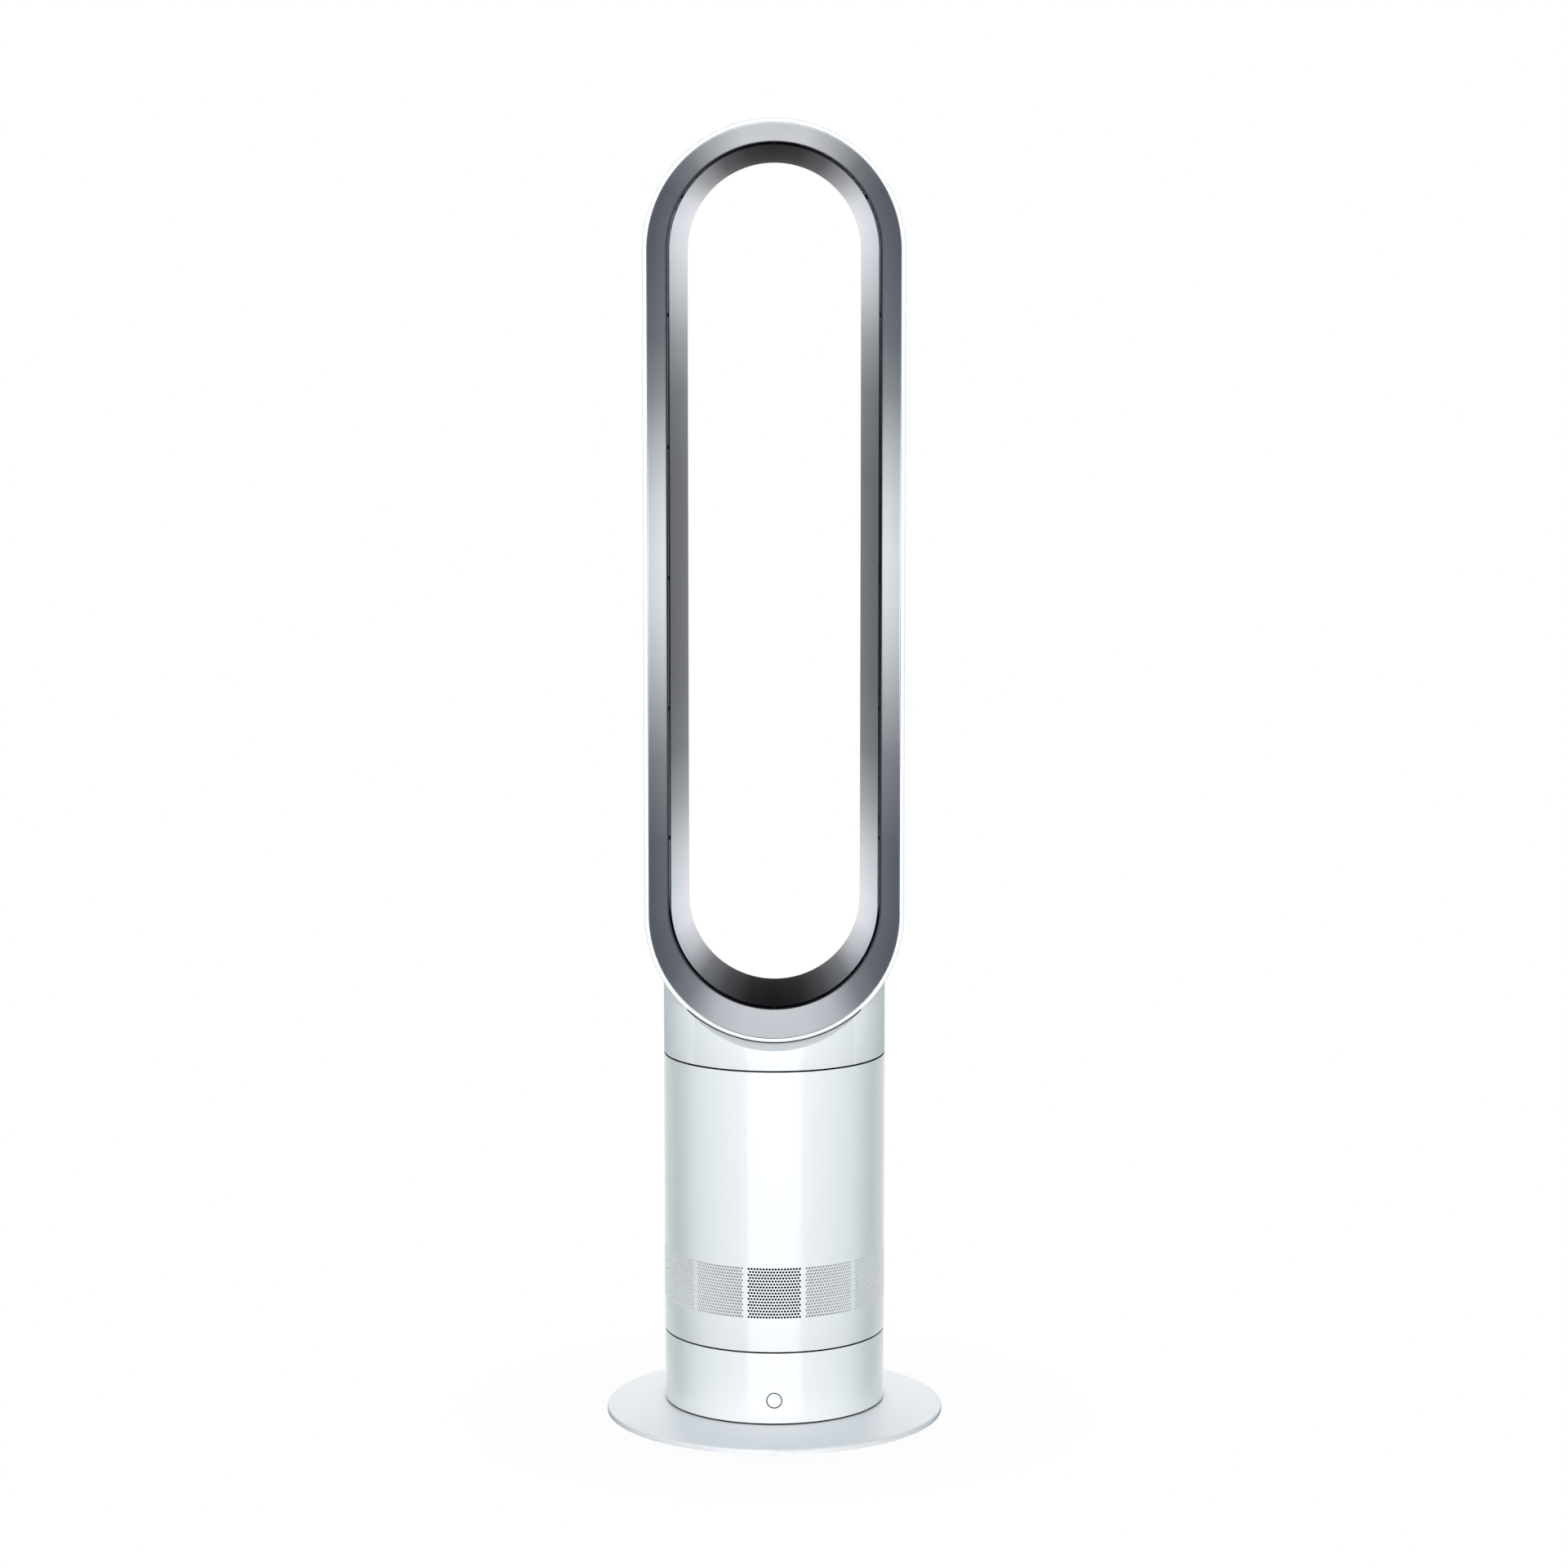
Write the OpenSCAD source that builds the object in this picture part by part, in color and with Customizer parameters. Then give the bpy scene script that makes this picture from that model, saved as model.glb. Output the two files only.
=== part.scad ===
// Bladeless tower fan. Front faces -Y, up is +Z, origin at the middle of the surface it stands on. Millimetres.

/* [Foot plate] */
// Height of the lower seam, where the base cylinder stands on the plate
plate_h = 11.3; // [9:0.1:14]
// How far the plate reaches out past the base cylinder
plate_reach = 45.7; // [30:0.1:60]
// Height of the plate's rim above the surface
plate_rim_z = 4.8; // [4:0.1:7]
// Gap between the surface and the plate's underside, which the rubber pads keep
plate_lift = 0.8; // [0.5:0.1:1.5]
// Thickness of the plate's moulded skin
plate_skin = 2.4; // [2:0.1:3]
// Number of rubber pads under the rim
pad_count = 8; // [4:1:12]

/* [Base cylinder] */
// Height of the base cylinder, seam to seam
base_h = 56.3; // [54:0.1:70]
// How much narrower the base cylinder is than the body, on the radius
base_step = 0.3; // [0:0.1:1]
// Wall of the base cylinder
base_wall = 2.3; // [2:0.1:3]
// Diameter of the round power button
button_d = 12; // [9:0.1:15]
// Height of the button's middle above the lower seam
button_up = 18.7; // [14:0.1:22]
// Travel of the button
button_travel = 0.8; // [0.5:0.1:1]
// Diameter of the cord that the inlet is made for
cord_d = 7; // [6:0.1:8]
// Height of the cord inlet above the lower seam
inlet_up = 14.7; // [13:0.1:20]

/* [Swing drive] */
// Module of the gear teeth
gear_module = 1; // [0.9:0.05:1.1]
// Teeth of the ring gear under the turntable
ring_teeth = 96; // [84:12:108]
// Teeth of the drive pinion
pinion_teeth = 16; // [14:1:20]
// Swing to either side of straight ahead, in degrees
swing = 35; // [20:1:40]

/* [Body] */
// Height of the body casing, seam to seam
body_h = 219.2; // [210:0.1:240]
// How much narrower the body is than the loop, on the radius
body_inset = 13.2; // [8:0.1:20]
// Wall of the body casing
body_wall = 2.5; // [2:0.1:3.5]
// Height of each dark seam
seam_gap = 1.2; // [0.8:0.1:2]

/* [Intake band] */
// Number of perforated patches round the body
patch_count = 12; // [8:1:14]
// Columns of holes in each patch
patch_cols = 5; // [4:1:8]
// Rows of holes in each patch
patch_rows = 5; // [4:1:8]
// Height of the lowest row above the body's lower seam
band_up = 28.5; // [20:0.5:32]
// Height from the lowest to the highest row
band_h = 36; // [24:0.5:40]
// Angle that the holes' middles span in each patch, in degrees
patch_span = 25; // [18:0.5:25]
// Diameter of each hole
hole_d = 4.4; // [2:0.1:5]

/* [Air mover] */
// Radius of the bellmouth's throat
throat_r = 47; // [42:0.5:50]
// Radius of the motor bucket
bucket_r = 50; // [46:0.5:52]
// Radial width of the ring-shaped passage round the bucket
passage_w = 16; // [12:0.5:17]
// Number of impeller blades
blade_count = 9; // [7:1:11]
// Thickness of an impeller blade
blade_t = 1.4; // [1.2:0.1:2]
// Number of fixed vanes round the bucket
vane_count = 11; // [9:1:13]
// Angle that each blade wraps round the hub, in degrees
blade_wrap = 75; // [50:1:90]
// Wall of the impeller housing, bellmouth and bucket
duct_t = 2; // [1.6:0.1:2.5]
// Diameter of the motor shaft
shaft_d = 5; // [4:0.1:6]

/* [Collar and loop] */
// Height of the collar's front, from its seam to the lowest point of the loop
collar_h = 16.1; // [12:0.1:30]
// Outer radius of the loop's round ends
loop_r = 99.3; // [92:0.1:110]
// Length of the loop's straight sides
loop_straight = 505.5; // [300:0.5:600]
// Distance from the swing axis to the loop's front rim
loop_front = 54; // [48:0.5:60]
// Distance from the swing axis to the loop's rear edge
loop_rear = 56; // [50:0.5:62]
// Radial width of the white rim round the front
rim_w = 3.3; // [3:0.1:5]
// Wall of the loop's outer shell
shell_wall = 2.4; // [2:0.1:3]
// Radial width of the front duct, from the rim in to the slot
front_flare = 14.2; // [10:0.1:18]
// Radial width of the rear duct, from the slot in to the narrowest opening
rear_flare = 12.9; // [9:0.1:16]
// Clear width of the air slot
slot_gap = 1.1; // [0.8:0.1:1.5]
// How far the air slot lies in front of the swing axis
slot_front = 1; // [-5:0.5:6]
// Thickness of the rear duct's lip at the slot
lip_t = 0.5; // [0.4:0.1:0.8]
// Wall of the two ducts
duct_wall = 1.6; // [1.4:0.1:2]
// How far each duct's wall bows towards the opening
duct_bow = 1.6; // [0:0.1:3]
// Radius of the loop's rear edges
rear_round = 9; // [6:0.5:10]

/* [Hidden] */
$fn = 96;

// Clearances and cuts
overrun = 1;
fit = 0.3;
touch = 0.1;
running = 0.05;

// Levels from the surface up
housing_z = plate_h + seam_gap / 2;
base_seam = plate_h + base_h;
housing_top = base_seam - seam_gap / 2;
casing_z = base_seam + seam_gap / 2;
body_seam = base_seam + body_h;
casing_top = body_seam - seam_gap / 2;
collar_z = body_seam + seam_gap / 2;
loop_low_z = body_seam + collar_h + loop_r;
loop_high_z = loop_low_z + loop_straight;

// Radii from the loop in
body_r = loop_r - body_inset;
base_r = body_r - base_step;
plate_r = base_r + plate_reach;
base_in = base_r - base_wall;
body_in = body_r - body_wall;

// Foot plate
plate_edge_round = 1.6;
plate_step = 1.5;
plate_in = base_r - plate_step;
rib_t = 1.6;
rib_count = 12;
pad_r = 7;
pad_seat = 0.9;
pad_ring_w = 17;
hub_ring_w = 6;
boss_r = 4.5;
boss_h = 3;
boss_place_share = 0.84;
screw_r = 1.8;
screw_head_r = 3.4;
screw_head_h = 2;
boss_angles = [30, 150, 270];

// Base chassis and what stands on it
chassis_t = 2.5;
chassis_z = housing_z + touch;
floor_z = chassis_z + chassis_t;
post_r = 14;
post_bore = 9;
post_rise = 2.4;
clip_t = 1.2;
clip_reach = 5;
groove_d = 1.4;
ledge_w = 13.5;
ledge_t = 2.7;
ledge_drop = 9;
slide_t = 2.2;
slide_w = 8;
slide_inset = 2;
stop_r = 3;
stop_angle = -45;
standoff_r = 3;

// Swing drive
pressure = 20;
ring_pitch = gear_module * ring_teeth / 2;
pinion_pitch = gear_module * pinion_teeth / 2;
gear_offset = ring_pitch - pinion_pitch;
tooth_up_share = 0.8;
tooth_down_share = 1.1;
tooth_up = tooth_up_share * gear_module;
tooth_down = tooth_down_share * gear_module;
flank_slack_share = 0.07;
flank_slack = flank_slack_share * gear_module;
gear_w = 6;
ring_back = 3;
drive_angle = 150;
drive_x = gear_offset * cos(drive_angle);
drive_y = gear_offset * sin(drive_angle);
motor_r = 20;
motor_h = 20;
motor_cap_h = 2;
ear_out = 25;
ear_r = 4;
ear_t = 1.6;
gear_shaft_r = 2;

// Turntable
turntable_t = 3;
turntable_gap = 0.6;
turntable_r = base_in - turntable_gap;
ledge_z = housing_top - ledge_drop;
slide_z = ledge_z;
turntable_z = slide_z + slide_t + fit;
turntable_rim_w = 6.5;
bush_t = 3;
hub_t = 5;
stop_gap = 4;
stop_orbit = ring_pitch + tooth_down + ring_back + stop_gap + stop_r;
post_top = base_seam + post_rise;
clip_z = post_top - 2 * clip_t - fit;
gear_z = turntable_z - gear_w;
casing_screw_r = 1.5;
casing_screw_head_r = 2.7;
casing_screw_head_h = 2;
casing_screw_l = 13;
casing_screw_angles = [45, 135, 225, 315];
casing_screw_orbit = turntable_r - turntable_rim_w / 2;
casing_boss_r = 3.6;
casing_boss_h = 11;
casing_flange_t = 2;

// Boards
board_t = 1.6;
power_board_size = [46, 60];
power_board_x = 20;
power_board_y = -25;
power_board_up = 9.5;
control_board_size = [48, 28];
control_board_back = 13.8;
control_board_up = 4.5;
board_post = 4;
coil_shares = [0.4, 0.28, 0.3];
coil_place_share = 0.16;
can_shares = [0.13, 0.36];
can_side_share = 0.3;
can_place_shares = [0.6, 0.85];
fin_shares = [0.38, 0.3];
fin_start_share = 0.55;
fin_place_shares = [0.6, 0.68, 0.76, 0.84];
chip_shares = [0.16, 0.25];
chip_side_share = 0.3;
chip_place_share = 0.6;
switch_size = [6, 3.5, 6];
plunger_r = 1.5;
plunger_l = 1;

// Button and cord inlet
button_z = plate_h + button_up;
button_gap = 0.25;
button_r = button_d / 2;
button_flange_w = 1.5;
button_flange_t = 1.6;
button_stem_r = 2;
inlet_z = plate_h + inlet_up;
cord_slack = 0.1;
gland_wall = 2.4;
gland_flange_w = 3;
gland_flange_t = 1.9;
gland_l = 15.8;

// Air mover
rim_gap = 0.7;
wheel_h = 34;
throat_up = 84.4;
bell_r = 17;
inlet_top = base_seam + throat_up;
wheel_z = inlet_top + touch + duct_t;
wheel_top = wheel_z + wheel_h;
passage_r = bucket_r + passage_w;
housing_flange_w = 8;
housing_flange_t = 3;
housing_l = 55;
housing_end = wheel_top + housing_l;
nose_r = 8.5;
hub_lead_share = 1.05;
root_depth = 1.2;
blade_trim = 0.7;
hub_boss_r = 7;
hub_wall = 2.5;
bucket_low_h = 24;
bucket_gap = 2;
bucket_up_h = 26;
bucket_split = wheel_top + bucket_low_h;
bucket_z = wheel_top + bucket_gap;
bucket_top = bucket_split + bucket_up_h;
cone_h = 18;
cone_r = 24;
bearing_r = 8;
bearing_h = 5;
bearing_wall = 3;
bearing_up = 21;
bearing_top = bucket_split + bearing_up;
press = 0.02;
vane_up = 12;
vane_z = wheel_top + vane_up;
vane_h = 26;
vane_wrap = 28;
vane_t = 1.4;
stator_r = 30;
stator_bore = 12.5;
stator_h = 16;
stator_z = bucket_split - stator_h / 2;
stator_teeth = 6;
tooth_w = 7;
yoke_w = 5;
coil_t = 3.2;
magnet_r = 11.5;
magnet_h = 20;
driver_r = 44;
driver_in = 14;
driver_up = 13;
driver_z = bucket_split + driver_up;
foam_t = 8;
seal_t = 2;
seal_rise = 4;
mount_count = 6;
mount_r = 4;
mount_h = 6;
outlet_flange_t = 2.7;
outlet_ledge_w = 3;
outlet_ledge_t = 3.5;
spigot_drop = 8;
spigot_t = 2.4;
seal_h = 2;
seal_level = housing_end - 4 * seal_rise;
outlet_seat = body_seam - spigot_drop - seal_h - outlet_flange_t - fit;

// Loop
rim_in = loop_r - rim_w;
slot_r = rim_in - front_flare;
lip_r = slot_r - slot_gap - lip_t;
mouth_r = lip_r - rear_flare;
rear_mid = (loop_r + mouth_r) / 2;
rim_depth = 1.6;
rim_round = 0.8;
rim_recess = 0.3;
rim_land = 0.5;
lip_ahead = 0.5;
wall_steps = 12;
window_w = 110;
window_d = 78;
window_back = 8;
window_round = 12;
spacer_w = 3;
spacer_l = 2;
straight_spacers = 5;
turn_vane_r = 13;
turn_vane_t = 1.2;
turn_vane_angles = [14, 25, 36];

// Shapes used by several pieces
module ring(outer, inner, h) {
    difference() {
        cylinder(r = outer, h = h);
        translate([0, 0, -overrun]) cylinder(r = inner, h = h + 2 * overrun);
    }
}

module rounded_rect(w, d, r) {
    square([w - 2 * r, d], center = true);
    square([w, d - 2 * r], center = true);
    for (x = [-1, 1], y = [-1, 1]) translate([x * (w / 2 - r), y * (d / 2 - r)]) circle(r);
}

module around(count, orbit) {
    for (i = [0 : count - 1]) rotate([0, 0, i * 360 / count]) translate([orbit, 0, 0]) children();
}

module at_angles(angles, orbit) {
    for (a = angles) rotate([0, 0, a]) translate([orbit, 0, 0]) children();
}

// Involute gear outline. Extra moves both flanks out by an angle, for a tooth space.
function involute(a) = tan(a) * 180 / PI - a;
function half_tooth(r, teeth, extra) =
    let (flat = gear_module * teeth / 2 * cos(pressure))
    90 / teeth + extra + involute(pressure) - involute(acos(min(1, flat / r)));
function gear_points(teeth, root, tip, extra) =
    let (radii = [root, (root + tip) / 2, tip], last = len(radii) - 1)
    [for (i = [0 : teeth - 1], side = [-1, 1], k = [0 : last])
        let (r = radii[side < 0 ? k : last - k], a = i * 360 / teeth + side * half_tooth(r, teeth, extra))
        [r * cos(a), r * sin(a)]];

// Foot plate and pads
module plate_outline() {
    edge = plate_edge_round;
    polygon([[0, plate_lift], [plate_r - edge, plate_lift], [plate_r - edge, plate_rim_z],
        [base_r, plate_h - seam_gap / 2], [plate_in, plate_h - seam_gap / 2], [plate_in, housing_z],
        [0, housing_z]]);
    translate([plate_r - edge, plate_lift]) square([edge, plate_rim_z - plate_lift - edge]);
    translate([plate_r - edge, plate_rim_z - edge]) circle(edge);
}

module plate_hollow() {
    polygon([[0, -overrun], [plate_r - pad_ring_w, -overrun], [plate_r - pad_ring_w, plate_rim_z - plate_skin / 2],
        [base_r, plate_h - seam_gap / 2 - plate_skin], [plate_in - hub_ring_w, housing_z - plate_skin],
        [0, housing_z - plate_skin]]);
}

module base_plate() {
    color("gainsboro") difference() {
        union() {
            rotate_extrude() difference() {
                plate_outline();
                plate_hollow();
            }
            intersection() {
                ribs();
                rotate_extrude() plate_outline();
            }
            translate([0, 0, plate_lift]) ring(base_r, base_r - hub_ring_w, plate_h - plate_lift - plate_skin);
        }
        at_angles(boss_angles, base_in * boss_place_share) translate([0, 0, -overrun])
            cylinder(r = screw_r + touch, h = housing_z + 2 * overrun);
        around(pad_count, plate_r - pad_ring_w / 2) cylinder(r = pad_r + touch, h = plate_lift + pad_seat);
        translate([0, 0, -overrun]) cylinder(r = post_bore, h = housing_z + 2 * overrun);
    }
}

module ribs() {
    rib_in = post_bore + hub_ring_w;
    for (i = [0 : rib_count - 1]) rotate([0, 0, (i + 1 / 2) * 360 / rib_count])
        translate([rib_in, -rib_t / 2, plate_lift])
            cube([plate_r - pad_ring_w - rib_in + touch, rib_t, housing_z - plate_lift - touch]);
}

module foot_pads() {
    color("dimgray") around(pad_count, plate_r - pad_ring_w / 2)
        cylinder(r = pad_r, h = plate_lift + pad_seat - touch);
}

module plate_screws() {
    head_z = housing_z - plate_skin - screw_head_h - touch;
    color("silver") at_angles(boss_angles, base_in * boss_place_share) {
        translate([0, 0, head_z]) cylinder(r = screw_head_r, h = screw_head_h);
        translate([0, 0, head_z]) cylinder(r = screw_r, h = floor_z + boss_h - head_z - touch);
    }
}

// Base chassis: floor, hollow pivot post, motor pillars, board standoffs and swing stop
module base_chassis() {
    pillar_h = gear_z - fit - motor_cap_h - ear_t - floor_z;
    color("slategray") difference() {
        union() {
            translate([0, 0, chassis_z]) cylinder(r = base_in - fit, h = chassis_t);
            translate([0, 0, chassis_z]) cylinder(r = post_r, h = post_top - chassis_z);
            at_angles(boss_angles, base_in * boss_place_share)
                translate([0, 0, chassis_z]) cylinder(r = boss_r, h = chassis_t + boss_h);
            motor_places() translate([0, 0, chassis_z]) cylinder(r = ear_r, h = chassis_t + pillar_h);
            board_corners() translate([0, 0, chassis_z])
                cylinder(r = standoff_r, h = floor_z + power_board_up - touch - chassis_z);
            rotate([0, 0, stop_angle]) translate([stop_orbit, 0, chassis_z])
                cylinder(r = stop_r, h = turntable_z + turntable_t - chassis_z);
            board_guides();
        }
        translate([0, 0, -overrun]) cylinder(r = post_bore, h = post_top + 2 * overrun);
        translate([0, 0, clip_z]) ring(post_r + overrun, post_r - groove_d, clip_t + fit);
        at_angles(boss_angles, base_in * boss_place_share)
            cylinder(r = screw_r + press, h = floor_z + boss_h + overrun);
        motor_places() translate([0, 0, floor_z]) cylinder(r = casing_screw_r + press, h = pillar_h + overrun);
    }
}

module motor_places() {
    translate([drive_x, drive_y, 0]) rotate([0, 0, drive_angle + 90])
        for (s = [-1, 1]) translate([s * ear_out, 0, 0]) children();
}

module board_corners() {
    inset = standoff_r;
    for (x = [inset, power_board_size[0] - inset], y = [inset, power_board_size[1] - inset])
        translate([power_board_x + x, power_board_y + y, 0]) children();
}

module board_guides() {
    back = -base_r + control_board_back + board_t + touch;
    for (s = [-1, 1]) translate([s * (control_board_size[0] - board_post) / 2 - board_post / 2, back, chassis_z])
        cube([board_post, board_post, chassis_t + control_board_up + control_board_size[1]]);
}

// Base cylinder with its inner ledge, button hole and inlet hole
module base_housing() {
    color("whitesmoke") difference() {
        union() {
            translate([0, 0, housing_z]) ring(base_r, base_in, housing_top - housing_z);
            translate([0, 0, ledge_z - ledge_t]) ring(base_in + touch, base_in - ledge_w, ledge_t);
        }
        translate([0, 0, button_z]) rotate([90, 0, 0]) cylinder(r = button_r + button_gap, h = base_r + overrun);
        translate([0, 0, inlet_z]) rotate([-90, 0, 0])
            cylinder(r = (cord_d / 2) + cord_slack + gland_wall + running, h = base_r + overrun);
    }
}

module slide_ring() {
    color("ivory") translate([0, 0, slide_z])
        ring(base_in - slide_inset, base_in - slide_inset - slide_w, slide_t);
}

// Boards in the base
module power_board() {
    w = power_board_size[0];
    l = power_board_size[1];
    coil = [w * coil_shares[0], l * coil_shares[1], w * coil_shares[2]];
    translate([power_board_x, power_board_y, floor_z + power_board_up]) {
        color("darkgreen") cube([w, l, board_t]);
        color("gold") translate([(w - coil[0]) / 2, l * coil_place_share, board_t]) cube(coil);
        color("black") for (share = can_place_shares) translate([w * can_side_share, l * share, board_t])
            cylinder(r = w * can_shares[0], h = w * can_shares[1]);
        color("silver") for (share = fin_place_shares) translate([w * share, l * fin_start_share, board_t])
            cube([rib_t, l * fin_shares[0], w * fin_shares[1]]);
    }
}

module control_board() {
    w = control_board_size[0];
    h = control_board_size[1];
    chip = [w * chip_shares[0], board_t, h * chip_shares[1]];
    translate([0, -base_r + control_board_back, floor_z + control_board_up]) {
        color("darkgreen") translate([-w / 2, 0, 0]) cube([w, board_t, h]);
        color("black") for (side = [-1, 1])
            translate([side * w * chip_side_share - chip[0] / 2, -board_t, h * chip_place_share]) cube(chip);
    }
}

module button_switch() {
    face = -base_r + control_board_back;
    color("black") translate([-switch_size[0] / 2, face - switch_size[1], button_z - switch_size[2] / 2])
        cube(switch_size);
    color("silver") translate([0, face - switch_size[1] + touch, button_z]) rotate([90, 0, 0])
        cylinder(r = plunger_r, h = plunger_l + touch);
}

// Push button, its face flush with the round wall, a flange behind the wall and a stem towards the switch
module power_button() {
    back = -base_in + overrun;
    stem_end = -base_r + control_board_back - switch_size[1] - plunger_l - button_travel - fit;
    color("white") {
        intersection() {
            translate([0, 0, button_z]) rotate([90, 0, 0]) cylinder(r = button_r, h = base_r);
            translate([0, 0, button_z - button_r]) difference() {
                cylinder(r = base_r - touch, h = button_d);
                translate([-base_r, back + button_flange_t, -overrun])
                    cube([2 * base_r, 2 * base_r, button_d + 2 * overrun]);
            }
        }
        translate([0, back + button_flange_t, button_z]) rotate([90, 0, 0])
            cylinder(r = button_r + button_flange_w, h = button_flange_t);
        translate([0, stem_end, button_z]) rotate([90, 0, 0])
            cylinder(r = button_stem_r, h = stem_end - back);
    }
}

// Grommet that the mains cord would come out of
module cord_gland() {
    bore = cord_d / 2 + cord_slack;
    sleeve = bore + gland_wall;
    end = base_r + touch + gland_flange_t;
    color("dimgray") translate([0, end, inlet_z]) rotate([90, 0, 0]) difference() {
        union() {
            cylinder(r = sleeve, h = gland_l);
            cylinder(r = sleeve + gland_flange_w, h = gland_flange_t);
            translate([0, 0, end - base_in + overrun])
                cylinder(r = sleeve + gland_flange_w / 2, h = gland_flange_t);
        }
        translate([0, 0, -overrun]) cylinder(r = bore, h = gland_l + 2 * overrun);
    }
}

// Swing drive
module oscillation_motor() {
    top = gear_z - fit;
    color("silver") difference() {
        union() {
            translate([drive_x, drive_y, top - motor_cap_h - motor_h]) cylinder(r = motor_r, h = motor_h);
            translate([drive_x, drive_y, top - motor_cap_h]) cylinder(r = motor_r * 0.4, h = motor_cap_h);
            translate([0, 0, top - motor_cap_h - ear_t]) hull() motor_places() cylinder(r = ear_r, h = ear_t);
        }
        translate([drive_x, drive_y, 0]) cylinder(r = gear_shaft_r + running, h = top + overrun);
        motor_places() translate([0, 0, floor_z]) cylinder(r = casing_screw_r + touch, h = top);
    }
}

module motor_screws() {
    top = gear_z - fit - motor_cap_h + touch;
    color("silver") motor_places() translate([0, 0, top]) {
        cylinder(r = casing_screw_head_r, h = casing_screw_head_h / 2);
        translate([0, 0, -casing_screw_l]) cylinder(r = casing_screw_r, h = casing_screw_l);
    }
}

module drive_pinion() {
    color("gold") translate([drive_x, drive_y, 0]) {
        translate([0, 0, gear_z]) rotate([0, 0, drive_angle]) linear_extrude(gear_w - fit)
            polygon(gear_points(pinion_teeth, pinion_pitch - tooth_down, pinion_pitch + tooth_up,
                -flank_slack * 180 / PI / pinion_pitch));
        translate([0, 0, gear_z - motor_h]) cylinder(r = gear_shaft_r, h = motor_h + gear_w - fit);
    }
}

module ring_gear() {
    color("ivory") translate([0, 0, gear_z]) difference() {
        cylinder(r = ring_pitch + tooth_down + ring_back, h = gear_w - touch);
        translate([0, 0, -overrun]) linear_extrude(gear_w + 2 * overrun)
            polygon(gear_points(ring_teeth, ring_pitch - tooth_up, ring_pitch + tooth_down,
                flank_slack * 180 / PI / ring_pitch));
    }
}

module pivot_bush() {
    color("ivory") translate([0, 0, turntable_z - hub_t + clip_t])
        ring(post_r + bush_t, post_r + running, clip_z - turntable_z + hub_t - clip_t - fit);
}

module retaining_clip() {
    color("silver") translate([0, 0, clip_z + touch]) ring(post_r + clip_reach, post_r - groove_d + touch, clip_t);
}

// Turntable with its hub, rim, screw holes and curved stop slot
module turntable() {
    hub_r = post_r + bush_t + press;
    color("slategray") difference() {
        union() {
            translate([0, 0, turntable_z]) cylinder(r = turntable_r, h = turntable_t);
            translate([0, 0, turntable_z]) ring(turntable_r, turntable_r - turntable_rim_w, casing_z - turntable_z);
            translate([0, 0, turntable_z - hub_t])
                cylinder(r = hub_r + hub_t, h = clip_z - fit - turntable_z + hub_t);
        }
        cylinder(r = hub_r, h = post_top + overrun);
        at_angles(casing_screw_angles, casing_screw_orbit) {
            cylinder(r = casing_screw_r + touch, h = casing_z + overrun);
            cylinder(r = casing_screw_head_r + fit, h = turntable_z + casing_screw_head_h + fit);
        }
        stop_slot();
    }
}

module stop_slot() {
    reach = swing + overrun;
    wide = stop_r + fit;
    translate([0, 0, turntable_z - overrun]) {
        rotate([0, 0, stop_angle - reach]) rotate_extrude(angle = 2 * reach)
            translate([stop_orbit - wide, 0]) square([2 * wide, turntable_t + 2 * overrun]);
        at_angles([stop_angle - reach, stop_angle + reach], stop_orbit)
            cylinder(r = wide, h = turntable_t + 2 * overrun);
    }
}

module casing_screws() {
    color("silver") at_angles(casing_screw_angles, casing_screw_orbit)
        translate([0, 0, turntable_z + fit]) {
            cylinder(r = casing_screw_head_r, h = casing_screw_head_h);
            cylinder(r = casing_screw_r, h = casing_screw_l);
        }
}

// Body casing: round wall, lower flange with screw bosses, upper ledge, and the perforated intake band
module body_casing() {
    color("white") difference() {
        union() {
            translate([0, 0, casing_z]) ring(body_r, body_in, casing_top - casing_z);
            translate([0, 0, casing_z]) ring(body_in + touch, turntable_r - turntable_rim_w, casing_flange_t);
            at_angles(casing_screw_angles, casing_screw_orbit)
                translate([0, 0, casing_z]) cylinder(r = casing_boss_r, h = casing_boss_h);
            translate([0, 0, outlet_seat - outlet_ledge_t])
                ring(body_in + touch, body_in - outlet_ledge_w, outlet_ledge_t);
        }
        at_angles(casing_screw_angles, casing_screw_orbit)
            cylinder(r = casing_screw_r + press, h = turntable_z + fit + casing_screw_l + fit);
        intake_holes();
    }
}

module intake_holes() {
    pitch = patch_span / (patch_cols - 1);
    row = band_h / (patch_rows - 1);
    for (p = [0 : patch_count - 1], j = [0 : patch_rows - 1]) {
        odd = j % 2;
        for (i = [0 : patch_cols - 1 - odd])
            rotate([0, 0, p * 360 / patch_count + (i - (patch_cols - 1 - odd) / 2) * pitch])
                translate([0, overrun - body_in, base_seam + band_up + j * row]) rotate([90, 0, 0])
                    cylinder(r = hole_d / 2, h = body_wall + 2 * overrun, $fn = 16);
    }
}

module floor_foam() {
    inner = post_r + bush_t + 2 * hub_t;
    color("dimgray") translate([0, 0, turntable_z + turntable_t + touch])
        ring(turntable_r - turntable_rim_w - casing_boss_r, inner, foam_t);
}

module silencing_foam() {
    color("dimgray") translate([0, 0, base_seam + band_up + band_h + foam_t])
        ring(body_in - fit, body_in - foam_t, seal_level - base_seam - band_up - band_h - 2 * foam_t);
}

// Air path: bellmouth, shroud over the wheel, round passage
function ease(t) = t * t * (3 - 2 * t);
function along(z) = max(0, min(1, (z - wheel_z) / wheel_h));
function shroud_at(z) = throat_r + (passage_r - throat_r) * ease(along(z));
function hub_at(z) = nose_r + (bucket_r - rim_gap - nose_r) * ease(min(1, along(z) * hub_lead_share));

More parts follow.
